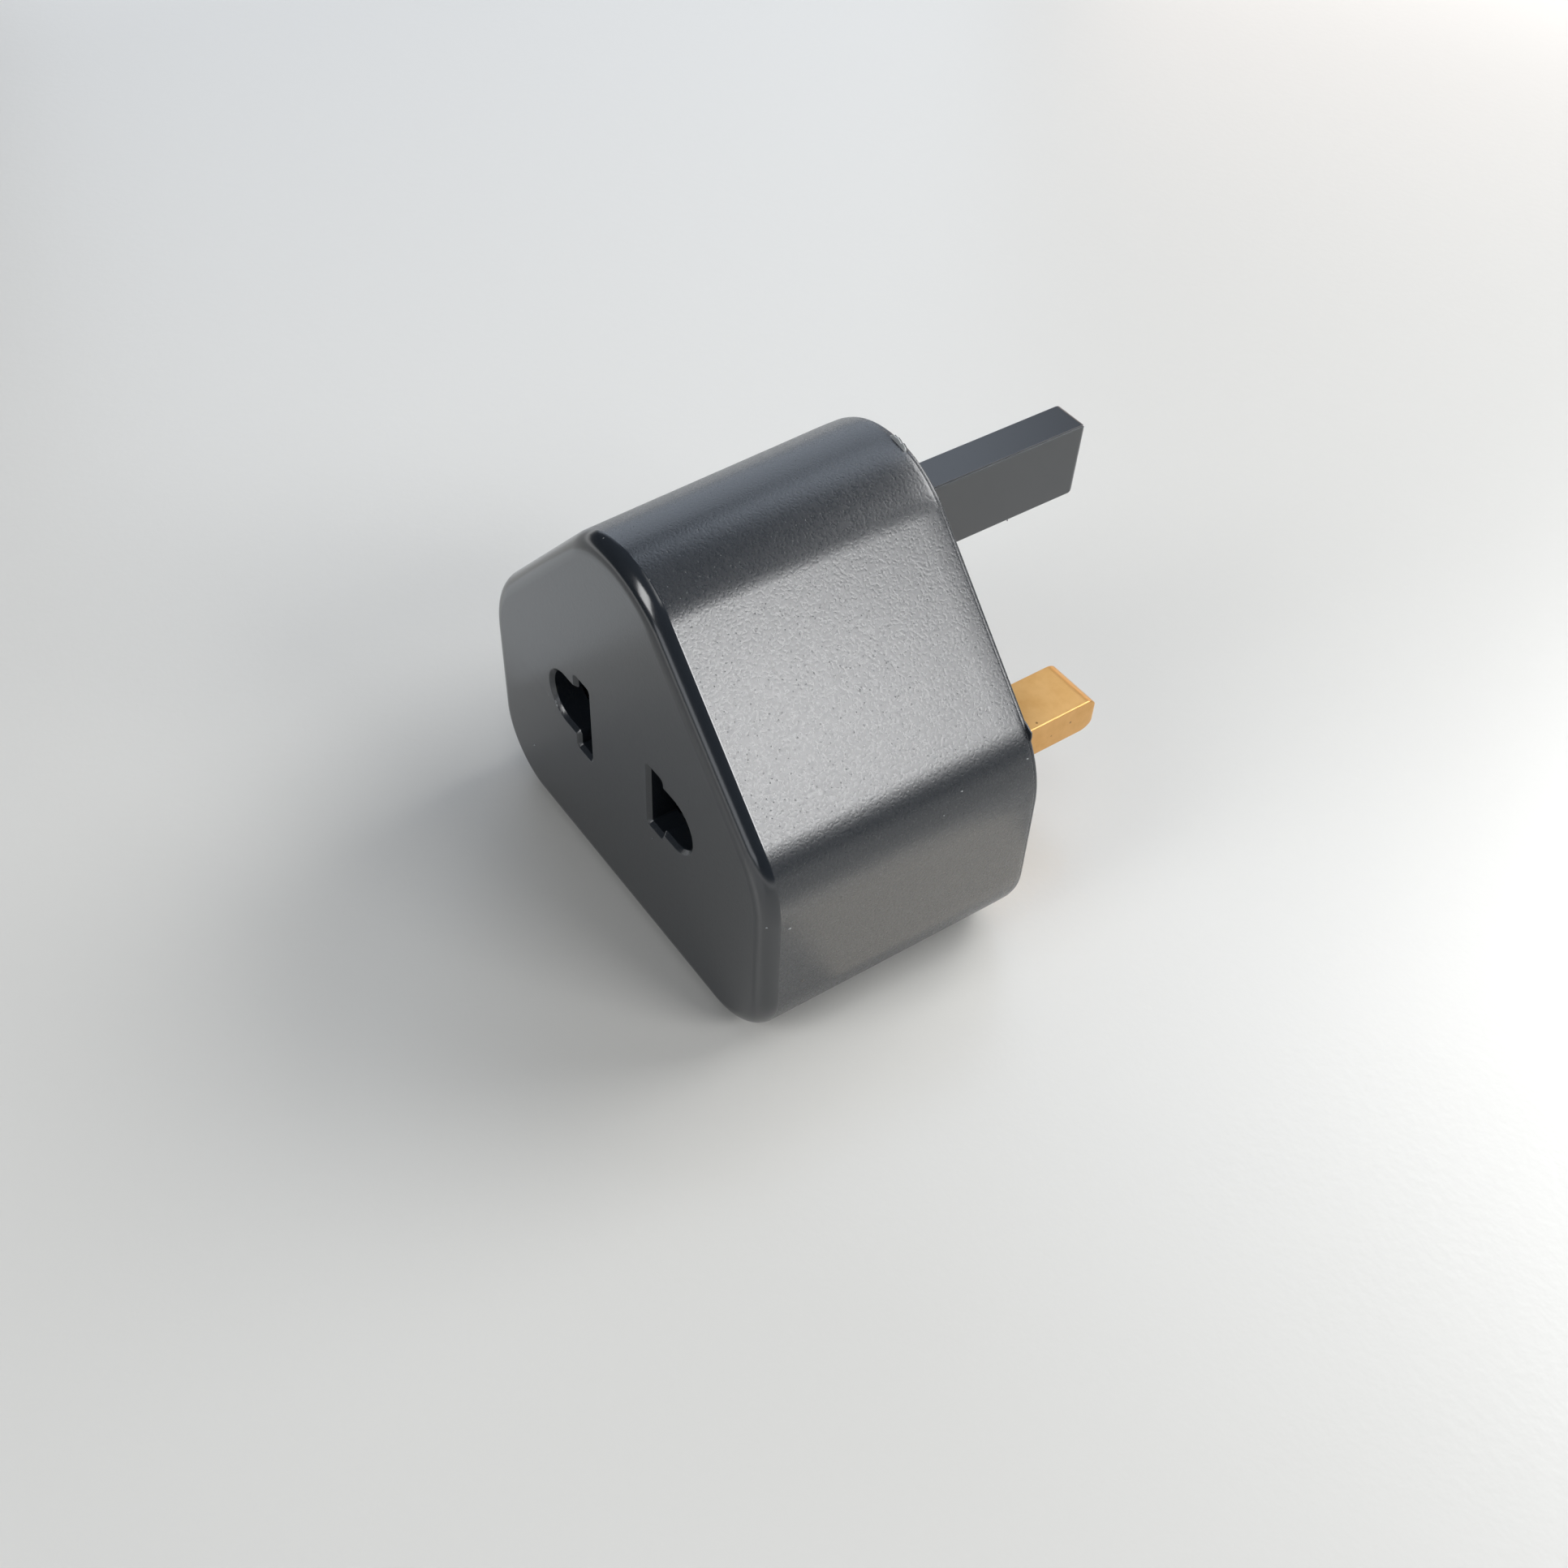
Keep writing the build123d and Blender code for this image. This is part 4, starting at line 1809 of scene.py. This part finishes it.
@dataclass(frozen=True)
class Studio:
    """Plain pale floor, a dim room, soft panels round the adapter and two cards beside it."""

    floor_size: float = 3.0
    floor_parts: int = 8
    floor_gap: float = 0.02 * MM
    sky_colour: str = "#DCE9FA"
    low_light: float = 0.06
    high_light: float = 0.13

    # Each panel: name, azimuth, elevation, distance, width, height, radiance and colour
    panels: tuple[SoftPanel, ...] = (
        SoftPanel("window", 20.0, 34.0, 0.6, 20.0, 17.0, 10.5),
        SoftPanel("window_side", 35.0, 24.0, 0.6, 9.0, 13.0, 5.6),
        SoftPanel("rear_window", 82.0, 40.0, 0.7, 40.0, 26.0, 7.0),
        SoftPanel("left_wall", 155.0, 23.0, 0.7, 36.0, 38.0, 1.3, "#DCE6F4"),
        SoftPanel("rear_low", 123.0, 10.0, 0.7, 22.0, 16.0, 1.6, "#FFECE0"),
        SoftPanel("front_low", -66.0, 10.5, 0.6, 34.0, 10.0, 1.6, "#EEF1F6"),
        SoftPanel("rear_wall", 128.0, 52.0, 0.7, 24.0, 18.0, 2.1, "#DCE6F4"),
        SoftPanel("front_panel", -90.0, 37.0, 0.7, 18.0, 30.0, 5.4),
        SoftPanel("ceiling_panel", -14.0, 82.8, 0.8, 9.0, 36.0, 2.2),
    )

    # Each card: name, place, size, radiance and colour
    cards: tuple[BounceCard, ...] = (
        BounceCard("side_card", (42 * MM, 10 * MM, 0.5 * MM), (30 * MM, 28 * MM), 0.42, "#FFF3DE"),
        BounceCard("face_card", (-58 * MM, -44 * MM, 0.5 * MM), (52 * MM, 46 * MM), 0.29, "#E6F0FA"),
    )

    def floor(self) -> bpy.types.Object:
        """Lays the floor under the base.

        Returns:
            The floor's object.
        """
        work = bmesh.new()
        parts, half = self.floor_parts, self.floor_size / 2
        bmesh.ops.create_grid(work, x_segments=parts, y_segments=parts, size=half)
        bmesh.ops.translate(work, verts=work.verts, vec=(0, 0, -self.floor_gap))
        mesh = bpy.data.meshes.new("studio_floor")
        work.to_mesh(mesh)
        work.free()
        mesh.materials.append(PaintedBoard("board_satin_painted").material())
        floor = bpy.data.objects.new("studio_floor", mesh)
        bpy.context.scene.collection.objects.link(floor)
        return floor

    def sky(self) -> None:
        """Fills the room with a dim, cool light that grows towards the ceiling."""
        world = bpy.data.worlds.new("studio_sky")
        world.use_nodes = True
        tree = world.node_tree
        tree.nodes.clear()
        toward = add_node(tree, "ShaderNodeTexCoord").outputs["Generated"]
        height = add_node(tree, "ShaderNodeSeparateXYZ", inputs={0: toward}).outputs["Z"]
        light = remap(tree, height, after=(self.low_light, self.high_light))

        # The camera itself, and glass, see plain white beyond the floor
        room = add_node(
            tree, "ShaderNodeBackground", inputs={"Color": linear(self.sky_colour), "Strength": light}
        )
        white = add_node(tree, "ShaderNodeBackground", inputs={"Color": linear(WHITE)})
        direct = seen_by(tree, "Is Camera Ray", "Is Transmission Ray")
        seen = add_node(
            tree, "ShaderNodeMixShader", inputs={0: direct, 1: room.outputs[0], 2: white.outputs[0]}
        )
        add_node(tree, "ShaderNodeOutputWorld", inputs={"Surface": seen.outputs[0]})
        bpy.context.scene.world = world

    def build(self) -> None:
        """Sets up the floor, the light and the view settings."""
        bpy.context.scene.view_settings.view_transform = "Standard"
        self.floor()
        self.sky()
        low, high = CAD_BOX
        for panel in self.panels:
            panel.build((low + high) / 2)
        for card in self.cards:
            card.build()


def main() -> None:
    """Builds the adapter piece by piece, then the studio and the camera."""
    logging.basicConfig(level=logging.INFO, format="%(name)s: %(message)s")
    body_abs = MouldedAbs("abs_spark_eroded").material()
    cover_abs = MouldedAbs("abs_fine_eroded", spark_depth=12 * MICRON, polished_roughness=0.28).material()
    shape = BodyShape.from_frame()
    cover = RearCover(shape)
    made = [Housing(shape).build(body_abs), cover.build(cover_abs)]
    brass = DrawnBrass("brass_drawn_tumbled").material()
    for pole in Pole:
        made.append(BrassPin(pole, shape.rear - cover.thickness).build(brass))
    made.append(CoverScrew().build(ZincPlate("steel_zinc_plated").material()))
    made.extend(ContactSprings().dress(RolledBrass("brass_rolled_strip").material()))
    for piece in made:
        LOG.info("%s: %d faces", piece.name, len(piece.data.polygons))
    Studio().build()
    PhotoCamera().build()


if __name__ == "__main__":
    main()
